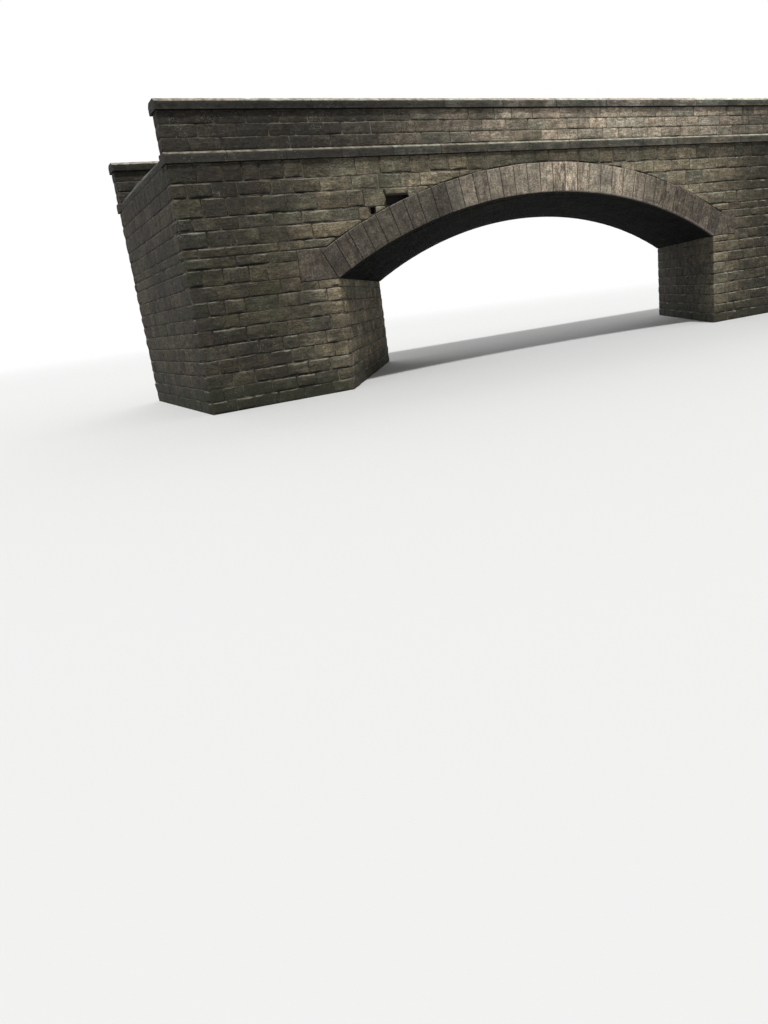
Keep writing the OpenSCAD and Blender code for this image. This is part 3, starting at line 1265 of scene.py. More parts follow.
    def _on_stone(self, first: float, last: float, back: float, share_a: np.ndarray,
                  share_b: np.ndarray, depth: float) -> Grids:
        """Places on a ring stone at some depth behind the wall's face.

        Args:
            first: Angle of its left joint.
            last: Angle of its right joint.
            back: Depth of the stone.
            share_a: Share of the way across, 0 to 1.
            share_b: Share of the way from the underside to the back, 0 to 1.
            depth: Distance behind the wall's face.

        Returns:
            Distances along the face and levels.
        """
        foot_left, foot_right = ARCH.joint_point(first, 0.0), ARCH.joint_point(last, 0.0)
        tip_left, tip_right = ARCH.joint_point(first, 1.0), ARCH.joint_point(last, 1.0)
        base_x = foot_left[0] + share_a * (foot_right[0] - foot_left[0])
        base_z = foot_left[1] + share_a * (foot_right[1] - foot_left[1])
        run_x = tip_left[0] + share_a * (tip_right[0] - tip_left[0]) - base_x
        run_z = tip_left[1] + share_a * (tip_right[1] - tip_left[1]) - base_z
        cos = math.cos(ARCH.skew)
        off_centre = base_x - depth * math.tan(ARCH.skew)
        quad = (run_x * cos) ** 2 + run_z**2
        half = off_centre * run_x * cos**2 + (base_z - ARCH.centre_z) * run_z
        radius = ARCH.radius - self.underside_out
        rest = (off_centre * cos) ** 2 + (base_z - ARCH.centre_z) ** 2 - radius**2
        low = (-half + np.sqrt(half**2 - quad * rest)) / quad
        low = np.maximum(low, (ARCH.springing + self.bed_joint - base_z) / run_z)
        up = low + share_b * (back - low)
        foot_wide = foot_right[0] - foot_left[0]
        wide = foot_wide + up * (tip_right[0] - foot_right[0] - tip_left[0] + foot_left[0])
        lean = wide / np.hypot(wide, foot_right[1] - foot_left[1])
        return base_x + up * run_x + self.joint / 2 * (1 - 2 * share_a) * lean, base_z + up * run_z

    def _cut_springer(self, hand: int) -> None:
        """Cuts one springer.

        Args:
            hand: -1 for the left one, 1 for the right one.
        """
        chance = self.chance
        low, high = ARCH.springing + self.bed_joint, ARCH.springer_top - self.bed_joint
        cols = spaced(ARCH.springer_length, self.near, self.springer_step)
        rows = spaced(high - low, self.near, self.step)
        share_a, share_b = np.meshgrid(cols / cols[-1], rows / rows[-1])
        if hand < 0:
            share_a = 1 - share_a
        seed = int(chance.integers(1, MOST_SEED))
        shift = chance.uniform(0, MOST_SHIFT, 3)
        where = partial(self._on_springer, hand, low, high)
        x, z = where(share_a, share_b, 0.0)
        sample = np.stack([x, z, np.zeros_like(x)], -1) + shift
        inner = np.abs(x) - np.abs(where(share_a * 0, share_b, 0.0)[0])
        gaps = np.stack([inner, ARCH.springer_end - np.abs(x), z - low, high - z]).clip(0)
        out = self._face_relief(gaps, sample, seed)
        place = np.stack([x, z, out], -1) + shift
        front = Rows(self.plane.world(x, z, out), place, self._edge_marks(gaps, LEAST_WASHED_AND_HIGHLIGHT))
        tint = tinted(chance.normal(*SPRINGER_TONE), 0.5)
        self._add(where, share_a, share_b, front, out, SIDE_FADE, tint)

    def _on_springer(self, hand: int, low: float, high: float, share_a: np.ndarray,
                     share_b: np.ndarray, depth: float) -> Grids:
        """Places on a springer at some depth behind the wall's face.

        Args:
            hand: -1 for the left one, 1 for the right one.
            low: Level of its bed.
            high: Level of its top.
            share_a: Share of the way out from the ring, 0 to 1.
            share_b: Share of the way up, 0 to 1.
            depth: Distance behind the wall's face.

        Returns:
            Distances along the face and levels.
        """
        z = low + share_b * (high - low)
        lean = math.tan(ARCH.half_angle) / ARCH.stretch
        seat = ARCH.face_half_span + (z - ARCH.springing) * lean + self.joint / 2
        drop = np.maximum(ARCH.radius**2 - (z - ARCH.centre_z) ** 2, 0)
        vault = hand * depth * math.tan(ARCH.skew) + np.sqrt(drop) * ARCH.stretch
        inner = np.maximum(seat, vault)
        return hand * (inner + share_a * (ARCH.springer_end - self.joint / 2 - inner)), z


CORNER_FADE = 0.03
END_INSET_FADE, END_DARK, END_DARK_FADE = 0.005, 0.02, 0.016
WORN_CELL, WORN_LEAST = 0.22, 0.35
GRAIN_DEEP, GRAIN_CELL = 0.0015, 0.06
SLAB_CHIP_CELL, SLAB_CHIP_FROM, SLAB_CHIP_REACH = 0.09, 0.45, 0.03
CORNER_PALE = 0.9
SLAB_TONE = (0.5, 0.15)


@dataclass(frozen=True)
class BarOutline:
    """A long stone's cross-section: corners going up the outer face and back down inside."""

    corners: tuple[tuple[float, float], ...]
    rounding: float = 0.012
    step: float = 0.07

    def points(self) -> Grids:
        """Rounds the corners and divides the sides.

        Returns:
            Points of the outline, and how near each is to a corner.
        """
        corners = np.array(self.corners)
        places: list[np.ndarray] = []
        nearness: list[float] = []
        for before, corner, after in zip(np.roll(corners, 1, 0), corners, np.roll(corners, -1, 0)):
            back, ahead = before - corner, after - corner
            length = np.linalg.norm(ahead)
            enter = corner + back / np.linalg.norm(back) * self.rounding
            leave = corner + ahead / length * self.rounding
            for share in (0.0, 0.5, 1.0):
                places.append((1 - share) ** 2 * enter + 2 * share * (1 - share) * corner + share**2 * leave)
                nearness.append(1.0)
            side = length - 2 * self.rounding
            toward = after - ahead / length * self.rounding
            count = max(2, round(side / self.step))
            for i in range(1, count):
                places.append(leave + (toward - leave) * i / count)
                nearness.append(math.exp(-min(i, count - i) * side / count / CORNER_FADE))
        return np.array(places), np.array(nearness)


@dataclass
class LongCourse:
    """A run of long dressed stones from end to end: the string course or the coping."""

    side: Side
    name: str
    node: str
    outline: BarOutline
    half_length: float
    stone_length: float
    joint: float = 0.006
    inset: float = 0.004
    worn: float = 0.004
    chips: float = 0.016
    near: tuple[float, ...] = (0.0, 0.008, 0.025, 0.06)
    step: float = 0.1

    def build(self, material: Material, seed: int) -> None:
        """Cuts the stones of the run.

        Args:
            material: Their finish.
            seed: Seed of the random numbers.
        """
        chance, pile = np.random.default_rng(seed), StonePile()
        outline, nearness = self.outline.points()
        count = round(2 * self.half_length / self.stone_length)
        pitch = 2 * self.half_length / count
        for number in range(count):
            start = -self.half_length + number * pitch + (self.joint / 2 if number else 0)
            finish = -self.half_length + (number + 1) * pitch - (self.joint / 2 if number < count - 1 else 0)
            self._cut_stone(chance, pile, outline, nearness, start, finish)
        pile.build(self.name, material, "coping_stone", [self.node])

    def _cut_stone(self, chance: np.random.Generator, pile: StonePile, outline: np.ndarray,
                   nearness: np.ndarray, start: float, finish: float) -> None:
        """Cuts one stone of the run.

        Args:
            chance: Source of its wear and its tint.
            pile: Where it goes.
            outline: Its cross-section.
            nearness: How near each point of it is to a corner.
            start: Its left end.
            finish: Its right end.
        """
        inward = outline.mean(axis=0) - outline
        inward /= np.linalg.norm(inward, axis=1)[:, None]
        shift = chance.uniform(0, MOST_SHIFT, 3)
        x, y = np.meshgrid(start + spaced(finish - start, self.near, self.step), outline[:, 0], indexing="ij")
        z = np.broadcast_to(outline[:, 1], x.shape)
        sample = np.stack([x, y, z], -1) + shift
        pick = int(chance.integers(1, MOST_SEED))
        from_end = np.minimum(x - start, finish - x)
        cut = self.inset * np.exp(-from_end / END_INSET_FADE)
        at_corner = WORN_LEAST + (1 - WORN_LEAST) * nearness
        cut += self.worn * (0.5 + 0.5 * ripple(sample, WORN_CELL, pick)) * at_corner
        cut += GRAIN_DEEP * (1 + ripple(sample, GRAIN_CELL, pick + 1))
        chip = np.clip(ripple(sample, SLAB_CHIP_CELL, pick + 2) - SLAB_CHIP_FROM, 0, 1) * self.chips * 2
        cut += chip * np.maximum(nearness, np.exp(-from_end / SLAB_CHIP_REACH))
        y, z = y + inward[:, 0] * cut, z + inward[:, 1] * cut
        points = np.stack([self.side.value * x, self.side.value * y, z], -1)
        place = np.stack([x - start, z, y], -1) + shift
        arris = np.where(from_end < END_DARK, -np.exp(-from_end / END_DARK_FADE), nearness * CORNER_PALE)
        tint = tinted(chance.normal(*SLAB_TONE), chance.uniform(0, 1))
        pile.add_bar(Rows(points, place, arris), tint)


@dataclass(frozen=True)
class Pattern:
    """A noise pattern: its bumps per metre, in all or in each direction, and its finer layers."""

    bumps: float | Triple
    layers: float = 5.0
    strength: float = 0.55
    stir: float = 0.0


class Shader:
    """Adds and links the nodes of a material or of the world."""

    def __init__(self, owner: Material | bpy.types.World) -> None:
        """Starts with no nodes.

        Args:
            owner: The material or the world.
        """
        self.owner = owner
        owner.use_nodes = True
        self.tree = owner.node_tree
        self.tree.nodes.clear()

    def add(self, kind: str, sockets: dict, **settings: object) -> bpy.types.Node:
        """Adds a node.

        Args:
            kind: Type of the node.
            sockets: Values or links for its inputs, by name or number.
            settings: Values of its properties.

        Returns:
            The node.
        """
        node = self.tree.nodes.new(kind)
        for key, value in settings.items():
            setattr(node, key, value)
        for key, value in sockets.items():
            if isinstance(value, Socket):
                self.tree.links.new(value, node.inputs[key])
            else:
                node.inputs[key].default_value = value
        return node

    def attribute(self, name: str) -> Socket:
        """A mesh attribute as a vector."""
        return self.add("ShaderNodeAttribute", {}, attribute_name=name).outputs["Vector"]

    def spot_on_bridge(self) -> Socket:
        """The point's place on the bridge."""
        return self.add("ShaderNodeTexCoord", {}).outputs["Object"]

    def split(self, vector: Socket) -> list[Socket]:
        """The three parts of a vector."""
        return list(self.add("ShaderNodeSeparateXYZ", {"Vector": vector}).outputs)

    def scaled(self, vector: Socket, by: Triple) -> Socket:
        """A vector with each part scaled."""
        return self.add("ShaderNodeVectorMath", {0: vector, 1: by}, operation="MULTIPLY").outputs["Vector"]

    def noise(self, vector: Socket, pattern: Pattern) -> Socket:
        """A noise value at a place.

        Args:
            vector: The place.
            pattern: The noise pattern.

        Returns:
            The value, 0 to 1.
        """
        bumps = pattern.bumps
        if isinstance(bumps, tuple):
            vector, bumps = self.scaled(vector, bumps), 1.0
        sockets = {"Vector": vector, "Scale": bumps, "Detail": pattern.layers,
                   "Roughness": pattern.strength, "Distortion": pattern.stir}
        return self.add("ShaderNodeTexNoise", sockets).outputs["Fac"]

    def span(self, value: Socket, ends: Span, becomes: Span = (0.0, 1.0)) -> Socket:
        """Maps a value smoothly from one range to another, held at its ends.

        Args:
            value: The value.
            ends: Both ends of its range.
            becomes: What they become.

        Returns:
            The mapped value.
        """
        sockets = {"Value": value, "From Min": ends[0], "From Max": ends[1],
                   "To Min": becomes[0], "To Max": becomes[1]}
        return self.add("ShaderNodeMapRange", sockets, interpolation_type="SMOOTHSTEP").outputs["Result"]

    def math(self, operation: str, first: object, second: object) -> Socket:
        """One sum of two values."""
        return self.add("ShaderNodeMath", {0: first, 1: second}, operation=operation).outputs[0]

    def product(self, *values: object) -> Socket:
        """The product of several values."""
        return reduce(partial(self.math, "MULTIPLY"), values)

    def mix(self, share: object, first: object, second: object) -> Socket:
        """Mixes two colours.

        Args:
            share: Share of the second.
            first: The first colour.
            second: The second colour.

        Returns:
            The mixed colour.
        """
        pair = [(*c, 1.0) if isinstance(c, tuple) else c for c in (first, second)]
        return self.add("ShaderNodeMix", {0: share, 6: pair[0], 7: pair[1]}, data_type="RGBA").outputs[2]

    def dimmed(self, colour: object, by: Socket) -> Socket:
        """A colour made lighter or darker by a value."""
        return self.add("ShaderNodeVectorMath", {0: colour, "Scale": by}, operation="SCALE").outputs["Vector"]

    def upward(self) -> Socket:
        """How far the surface faces up, -1 to 1."""
        return self.split(self.add("ShaderNodeNewGeometry", {}).outputs["Normal"])[2]

    def bump(self, height: Socket, distance: float, under: Socket | None = None) -> Socket:
        """Relief that is too fine for the mesh.

        Args:
            height: Its height, 0 to 1.
            distance: The height of 1, in metres.
            under: A coarser relief that it lies on.

        Returns:
            The surface's new normal.
        """
        sockets = {"Height": height, "Distance": distance, "Strength": 1.0}
        if under is not None:
            sockets["Normal"] = under
        return self.add("ShaderNodeBump", sockets).outputs["Normal"]

    def finish(self, colour: object, roughness: object, normal: Socket, specular: object) -> Material:
        """Closes the material with its surface.

        Args:
            colour: The base colour.
            roughness: The roughness.
            normal: The normal.
            specular: Strength of the reflection.

        Returns:
            The material.
        """
        sockets = {"Base Color": colour, "Roughness": roughness, "Normal": normal,
                   "Specular IOR Level": specular}
        surface = self.add("ShaderNodeBsdfPrincipled", sockets)
        self.add("ShaderNodeOutputMaterial", {"Surface": surface.outputs[0]})
        return self.owner


# Ranges of a noise pattern's values, from the widest to the narrowest.
NEARLY_ALL, MOST, MANY = (0.25, 0.75), (0.3, 0.7), (0.35, 0.65)
USUAL, CORE = (0.36, 0.64), (0.38, 0.62)

MOTTLE = Pattern((8.0, 15.0, 8.0), 9.0, 0.7, 0.3)
BEDDING = Pattern((1.4, 26.0, 1.4), 5.0, 0.6, 0.3)
GRAIN = Pattern(170.0, 3.0, 0.7)
CLOUDS = Pattern(0.9, 9.0, 0.62, 0.3)
RUNS = Pattern((5.0, 5.0, 0.35), 7.0, 0.6, 0.15)
HUES = Pattern(2.6, 3.0)
PATCHES = Pattern((2.6, 6.0, 2.6), 8.0, 0.66, 0.4)
FLECKS = Pattern((17.0, 30.0, 17.0), 6.0, 0.7, 0.2)
CHISELLING = Pattern((40.0, 15.0, 40.0), 4.0, 0.65, 0.4)
BROAD_CHISELLING = Pattern((8.0, 2.8, 8.0), 8.0, 0.66, 0.5)
PITS = Pattern(60.0, 4.0, 0.6)
MOSS_AREAS = Pattern(0.55, 6.0, 0.6)
FOOT_EDGE = Pattern(1.4, 7.0, 0.62)
LICHEN_SPOTS = Pattern(34.0, 3.0, 0.5)
LICHEN_AREAS = Pattern(1.7, 5.0, 0.6)
LICHEN_CRUST = Pattern(4.0, 10.0, 0.7, 0.3)
RELIEF = Pattern(16.0, 10.0, 0.66, 0.15)

TOP_COURSE, PALE_ARRIS, CLEAN_ARRIS = (5.1, 5.9), (0.25, 0.9), (0.15, 0.6)
RUN_EDGE, MOSS_EDGE, SPOT_AREA_EDGE = (0.48, 0.7), (0.5, 0.7), (0.5, 0.62)
FACING_UP, FLAT_TOP, FACING_DOWN = (0.25, 0.7), (0.88, 0.97), (-0.3, -0.75)
TOP_PAINTED_SHADE_TO_SUN = (0.85, 1.3)
CLOUD_SHARE, MOTTLE_SHARE, CRUST_RISE, FOOT_SWING, PATCH_GAIN = 0.7, 0.45, 0.18, -1.2, 0.9
CHISEL_RELIEF, GRAIN_RELIEF = 0.35, 0.12

# What sets each layer of a finish: both ends of its range, and what they become.
COOL_TO_WARM = ((0.4, 1.5), (0.0, 1.0))
TONE_BY_GRAIN = (NEARLY_ALL, (0.84, 1.16))
TONE_BY_CHISELLING, TONE_BY_BROAD_CHISELLING = (USUAL, (0.76, 1.2)), (USUAL, (0.78, 1.2))
PALE_BY_MOTTLE, PALE_BY_PAINTED_LIGHT = ((0.35, 0.6), (0.1, 1.0)), ((0.2, 1.2), (0.4, 1.0))
DARK_BY_ARRIS = ((-0.3, -0.95), (0.0, 0.8))
STAIN_BY_CHISELLING, STAIN_BY_HUE = ((0.52, 0.38), (0.0, 0.6)), ((0.3, 0.75), (0.15, 1.0))
PIT_BY_NOISE, PIT_BY_PATCH = ((0.6, 0.72), (0.0, 0.5)), ((0.42, 0.6), (0.0, 1.0))
DIRT_AND_PAINTED_SHADE_BY_LENGTH, RUNS_BY_LEVEL = ((-12.0, 8.0), (0.05, -0.05)), ((4.2, 5.9), (0.45, 1.0))
MOSS_BY_MOTTLE, FOOT_BY_LEVEL = (MANY, (0.25, 1.0)), ((0.35, -0.35), (0.0, 0.8))
SPOT_BY_NOISE = ((0.6, 0.68), (0.0, 1.0))
CRUST_BY_NOISE, CRUST_BY_ARRIS = ((0.36, 0.58), (0.35, 1.0)), ((-0.5, -0.95), (1.0, 0.1))
CRUST_BY_MOTTLE = (MANY, (0.72, 1.3))
ROUGH_BY_MOTTLE = (MOST, (0.95, 0.78))


class StoneShader(Shader):
    """A stone's shader, with the places, marks and patterns that its layers share."""

    def __init__(self, name: str, tooling: Tooling) -> None:
        """Starts the material.

        Args:
            name: Its name.
            tooling: How the stone's face was worked.
        """
        super().__init__(bpy.data.materials.new(name))
        self.place, self.spot = self.attribute("stone_place"), self.spot_on_bridge()
        self.tone, self.hue, self.arris = self.split(self.attribute("stone_mark"))
        self.along, _, self.level = self.split(self.spot)
        self.up = self.upward()
        self.mottle, self.patch = self.noise(self.place, MOTTLE), self.noise(self.place, PATCHES)
        self.beds, self.grain = self.noise(self.place, BEDDING), self.noise(self.place, GRAIN)
        dressed = tooling is Tooling.DRESSED
        self.grooves = self.noise(self.place, CHISELLING) if dressed else self.beds
        self.broad = self.noise(self.place, BROAD_CHISELLING) if dressed else None


@dataclass(frozen=True)
class StoneFinish:
    """A weathered sandstone: its two body colours and what has settled on it."""

    name: str
    tooling: Tooling
    cool: Colour
    warm: Colour
    crust: Colour = (0.018, 0.017, 0.014)
    moss: Colour = (0.050, 0.056, 0.022)
    lichen: Colour = (0.34, 0.35, 0.27)
    pale: Colour = (0.24, 0.21, 0.16)
    foot: Colour = (0.022, 0.024, 0.014)
    # Soot and painted shade on what faces down, less of it at pale edges.
    soot: Colour = (0.012, 0.012, 0.012)
    soot_and_shade_share: float = 0.9
    soot_at_edge: float = 1.0
    # Sloped tops are made paler, a painted highlight.
    slope_tone: float = 1.0
    # The course under the string course is darker, partly damp and partly painted shade under the string
    # course.
    top_course_tone: float = 1.0
    crust_from: float = 0.55
    crust_share: float = 0.7
    moss_share: float = 0.4
    lichen_share: float = 0.5
    arris_share: float = 0.4
    top_share: float = 0.6
    streaks: float = 0.35
    bedding: float = 0.3
    relief: float = 0.026
    tones: Span = (0.6, 1.4)
    mottling: float = 0.3
    specular: float = 0.3
    speckle: float = 0.42
    # Painted shade and sun along the bridge: dark over the left end, lighter towards the middle and right,
    # darker again over the right end.
    painted_shade_left: Span = (-12.4, -8.2)
    painted_shade_to_sun: Span = (0.45, 1.95)
    painted_shade_right: Span = (3.0, 7.5)
    right_shade_tone: float = 0.23

    def material(self) -> Material:
        """Makes the material.

        Returns:
            The material, driven by each stone's own place and marks.
        """
        s = StoneShader(self.name, self.tooling)
        # Painted shade and sun along the bridge, and the course under the string course darker, partly damp
        # and partly painted shade.
        painted_light = s.product(s.span(s.along, self.painted_shade_left, self.painted_shade_to_sun),
                            s.span(s.along, self.painted_shade_right, (1.0, self.right_shade_tone)),
                            s.span(s.level, TOP_COURSE, (1.0, self.top_course_tone)))
        colour = self._edged(s, self._body(s, painted_light), painted_light)
        colour = self._topped(s, self._grown(s, self._stained(s, colour)))
        # Darker where the surface faces down: soot and painted shade under things.
        under = s.product(s.span(s.up, FACING_DOWN, (0.0, self.soot_and_shade_share)),
                          s.span(s.arris, CLEAN_ARRIS, (1.0, self.soot_at_edge)))
        colour = s.mix(under, colour, self.soot)
        normal = s.bump(s.noise(s.place, RELIEF), self.relief)
        normal = s.bump(s.grooves, self.relief * CHISEL_RELIEF, normal)
        normal = s.bump(s.grain, self.relief * GRAIN_RELIEF, normal)
        shine = s.product(s.math("SUBTRACT", 1.0, under), self.specular)
        return s.finish(colour, s.span(s.mottle, *ROUGH_BY_MOTTLE), normal, shine)

    def _body(self, s: StoneShader, painted_light: Socket) -> Socket:
        """The stone's own colour, as its tone and the painted shade and sun at its place change it.

        Args:
            s: The stone's shader.
            painted_light: How light it is at its place on the bridge.

        Returns:
            The colour.
        """
        hue = s.math("ADD", s.hue, s.noise(s.place, HUES))
        shades = [s.span(s.mottle, USUAL, (1 - self.mottling, 1 + self.mottling)),
                  s.span(s.noise(s.place, FLECKS), USUAL, (1 - self.speckle, 1 + self.speckle)),
                  s.span(s.patch, CORE, (1 - self.mottling, 1 + PATCH_GAIN * self.mottling)),
                  s.span(s.beds, MOST, (1 - self.bedding, 1 + self.bedding / 2)),
                  s.span(s.grain, *TONE_BY_GRAIN), s.span(s.tone, (0.0, 1.0), self.tones)]
        if s.broad is not None:
            shades += [s.span(s.grooves, *TONE_BY_CHISELLING), s.span(s.broad, *TONE_BY_BROAD_CHISELLING)]
        shade = s.product(*shades)
        return s.dimmed(s.mix(s.span(hue, *COOL_TO_WARM), self.cool, self.warm), s.product(shade, painted_light))

    def _edged(self, s: StoneShader, colour: Socket, painted_light: Socket) -> Socket:
        """Adds the pale worn edges, partly a painted highlight, and the dark ones, dark joints and a painted
        shadow under the blocks, and a dressed face's stains and pits.

        Args:
            s: The stone's shader.
            colour: The colour so far.
            painted_light: How light it is at its place on the bridge.

        Returns:
            The new colour.
        """
        # Pale edge marks: wear, and partly a painted highlight on the top and lower edges.
        worn = s.product(s.span(s.arris, PALE_ARRIS, (0.0, self.arris_share)),
                         s.span(s.mottle, *PALE_BY_MOTTLE))
        colour = s.mix(worn, colour, s.dimmed(self.pale, s.span(painted_light, *PALE_BY_PAINTED_LIGHT)))
        # Dark edge marks: dark joints, and a painted shadow under each wall block.
        colour = s.mix(s.span(s.arris, *DARK_BY_ARRIS), colour, self.crust)
        if s.broad is None:
            return colour
        stain = s.product(s.span(s.broad, *STAIN_BY_CHISELLING), s.span(s.hue, *STAIN_BY_HUE))
        pit = s.product(s.span(s.noise(s.place, PITS), *PIT_BY_NOISE), s.span(s.patch, *PIT_BY_PATCH))
        return s.mix(pit, s.mix(stain, colour, self.crust), self.pale)

    def _stained(self, s: StoneShader, colour: Socket) -> Socket:
        """Adds the dark crust, a little heavier to the left as painted shade, and its runs below the string
        course.

        Args:
            s: The stone's shader.
            colour: The colour so far.

        Returns:
            The new colour.
        """
        # Crust, a little heavier towards the left as painted shade.
        cloud = s.math("ADD", s.noise(s.spot, CLOUDS), s.span(s.along, *DIRT_AND_PAINTED_SHADE_BY_LENGTH))
        dirt_and_painted_shade = s.math("ADD", s.product(cloud, CLOUD_SHARE), s.product(s.mottle, MOTTLE_SHARE))
        edge = (self.crust_from, self.crust_from + CRUST_RISE)
        colour = s.mix(s.span(dirt_and_painted_shade, edge, (0.0, self.crust_share)), colour, self.crust)
        runs = s.product(s.span(s.noise(s.spot, RUNS), RUN_EDGE, (0.0, self.streaks)),
                         s.span(s.level, *RUNS_BY_LEVEL))
        return s.mix(runs, colour, self.crust)

    def _grown(self, s: StoneShader, colour: Socket) -> Socket:
        """Adds the moss, the green foot of the wall and the spots of lichen.

        Args:
            s: The stone's shader.
            colour: The colour so far.

        Returns:
            The new colour.
        """
        green = s.product(s.span(s.noise(s.spot, MOSS_AREAS), MOSS_EDGE, (0.0, self.moss_share)),
                          s.span(s.mottle, *MOSS_BY_MOTTLE))
        foot = s.math("ADD", s.level, s.product(s.noise(s.spot, FOOT_EDGE), FOOT_SWING))
        spots = s.product(s.span(s.noise(s.spot, LICHEN_SPOTS), *SPOT_BY_NOISE),
                          s.span(s.noise(s.spot, LICHEN_AREAS), SPOT_AREA_EDGE, (0.0, self.lichen_share)))
        colour = s.mix(green, colour, self.moss)
        colour = s.mix(s.span(foot, *FOOT_BY_LEVEL), colour, self.foot)
        return s.mix(spots, colour, self.lichen)

    def _topped(self, s: StoneShader, colour: Socket) -> Socket:
        """Adds the pale crust of lichen on what faces up, paler on sloped tops as a painted highlight and
        darker to the left as painted shade.

        Args:
            s: The stone's shader.
            colour: The colour so far.

        Returns:
            The new colour.
        """
        on_top = s.product(s.span(s.up, FACING_UP, (0.0, self.top_share)),
                           s.span(s.noise(s.spot, LICHEN_CRUST), *CRUST_BY_NOISE),
                           s.span(s.arris, *CRUST_BY_ARRIS))
        # Sloped tops paler as a painted highlight; darker to the left and lighter to the right as painted
        # shade and sun.
        washed_and_painted_light = s.product(s.span(s.up, FLAT_TOP, (self.slope_tone, 1.0)),
                           s.span(s.along, self.painted_shade_left, TOP_PAINTED_SHADE_TO_SUN))
        tone = s.product(washed_and_painted_light, s.span(s.mottle, *CRUST_BY_MOTTLE))
        crust = s.dimmed(s.mix(s.hue, self.lichen, self.pale), tone)
        return s.mix(on_top, colour, crust)


POCKET_SCALE, POCKET_AT = (0.7, 1.0, 1.6), (-7.9, -3.5, 4.84)
POCKET_MIDDLE = tuple(scale * at for scale, at in zip(POCKET_SCALE, POCKET_AT))
VOID_RISE, DARK_SAND = 0.02, 0.55
WASHED_OUT = Pattern((1.3, 1.3, 3.4), 8.0, 0.68, 0.5)
SAND = Pattern(90.0, 6.0, 0.7)
JOINT_MOSS = Pattern(0.7, 6.0, 0.6)
WASHED_EDGE = (0.44, 0.56)
DARK_BY_SAND, ROUGH_BY_SAND = (MOST, (0.0, 0.5)), (MOST, (0.85, 0.97))
DARK_BY_POCKET, MOSS_IN_JOINTS = ((0.42, 0.62), (1.0, 0.0)), ((0.5, 0.68), (0.0, 0.5))
JOINTS_IN_PAINTED_SHADE_LEFT, JOINTS_IN_PAINTED_SHADE_RIGHT = ((-12.4, -8.2), (0.45, 1.0)), ((3.0, 7.5), (1.0, 0.5))
SAND_RELIEF, SAND_SHINE = 0.005, 0.2


@dataclass(frozen=True)
class MortarFinish:
    """Old lime mortar between the blocks, dark where it has washed out as painted shade in the open joints,
    and darker at both ends and in the pockets as painted shade.
    """

    name: str
    body: Colour = (0.205, 0.180, 0.135)
    deep: Colour = (0.020, 0.018, 0.015)
    moss: Colour = (0.045, 0.055, 0.02)
    open_share: float = 0.9
    void_from: float | None = None

    def material(self) -> Material:
        """Makes the material.

        Returns:
            The material, driven by the place on the bridge.
        """
        s = Shader(bpy.data.materials.new(self.name))
        spot = s.spot_on_bridge()
        along, inward, _ = s.split(spot)
        sand = s.noise(spot, SAND)
        dark = tuple(part * DARK_SAND for part in self.body)
        colour = s.mix(s.span(sand, *DARK_BY_SAND), self.body, dark)
        # Dark where washed out: painted shade in the open joints.
        washed_and_painted_light = s.span(s.noise(spot, WASHED_OUT), WASHED_EDGE, (0.0, self.open_share))
        colour = s.mix(washed_and_painted_light, colour, self.deep)
        # Painted shade inside the pockets and round them.
        if self.void_from is not None:
            void = s.span(inward, (self.void_from, self.void_from + VOID_RISE))
            away = s.add("ShaderNodeVectorMath", {0: s.scaled(spot, POCKET_SCALE), 1: POCKET_MIDDLE},
                         operation="DISTANCE").outputs["Value"]
            colour = s.mix(void, colour, self.deep)
            colour = s.mix(s.span(away, *DARK_BY_POCKET), colour, self.deep)
        moss = s.span(s.noise(spot, JOINT_MOSS), *MOSS_IN_JOINTS)
        # Painted shade: the joints darker at both ends of the bridge.
        shade = s.product(s.span(along, *JOINTS_IN_PAINTED_SHADE_LEFT), s.span(along, *JOINTS_IN_PAINTED_SHADE_RIGHT))
        colour = s.dimmed(s.mix(moss, colour, self.moss), shade)
        return s.finish(colour, s.span(sand, *ROUGH_BY_SAND), s.bump(sand, SAND_RELIEF), SAND_SHINE)


ROAD_STAINS = Pattern((0.35, 1.1, 1.0), 9.0, 0.7, 0.3)
RAVELLING = Pattern(0.9, 9.0, 0.72, 0.2)
COARSE_CHIPS = Pattern(19.0, 5.0, 0.75)
ROAD_EDGE = Pattern(2.2, 9.0, 0.7, 0.5)
CHIPS_PER_METRE = 75.0
DAMP_SWING, ROAD_RELIEF, ROAD_SHINE = 0.9, 0.004, 0.25
TONE_BY_TRACK, TONE_BY_STAIN = ((0.1, 0.7), (1.3, 0.86)), (USUAL, (0.8, 1.14))
TONE_BY_CHIPS, PALE_BY_CHIP = (CORE, (0.66, 1.34)), ((0.2, 1.0), (0.0, 0.8))
RAVELLED_BY_NOISE, RAVELLED_BY_CHIPS = ((0.53, 0.6), (0.0, 0.7)), ((0.42, 0.56), (1.0, 0.2))
DAMP_BY_EDGE, ROUGH_BY_CHIP = ((2.95, 3.35), (0.0, 0.85)), ((0.0, 1.0), (0.95, 0.75))


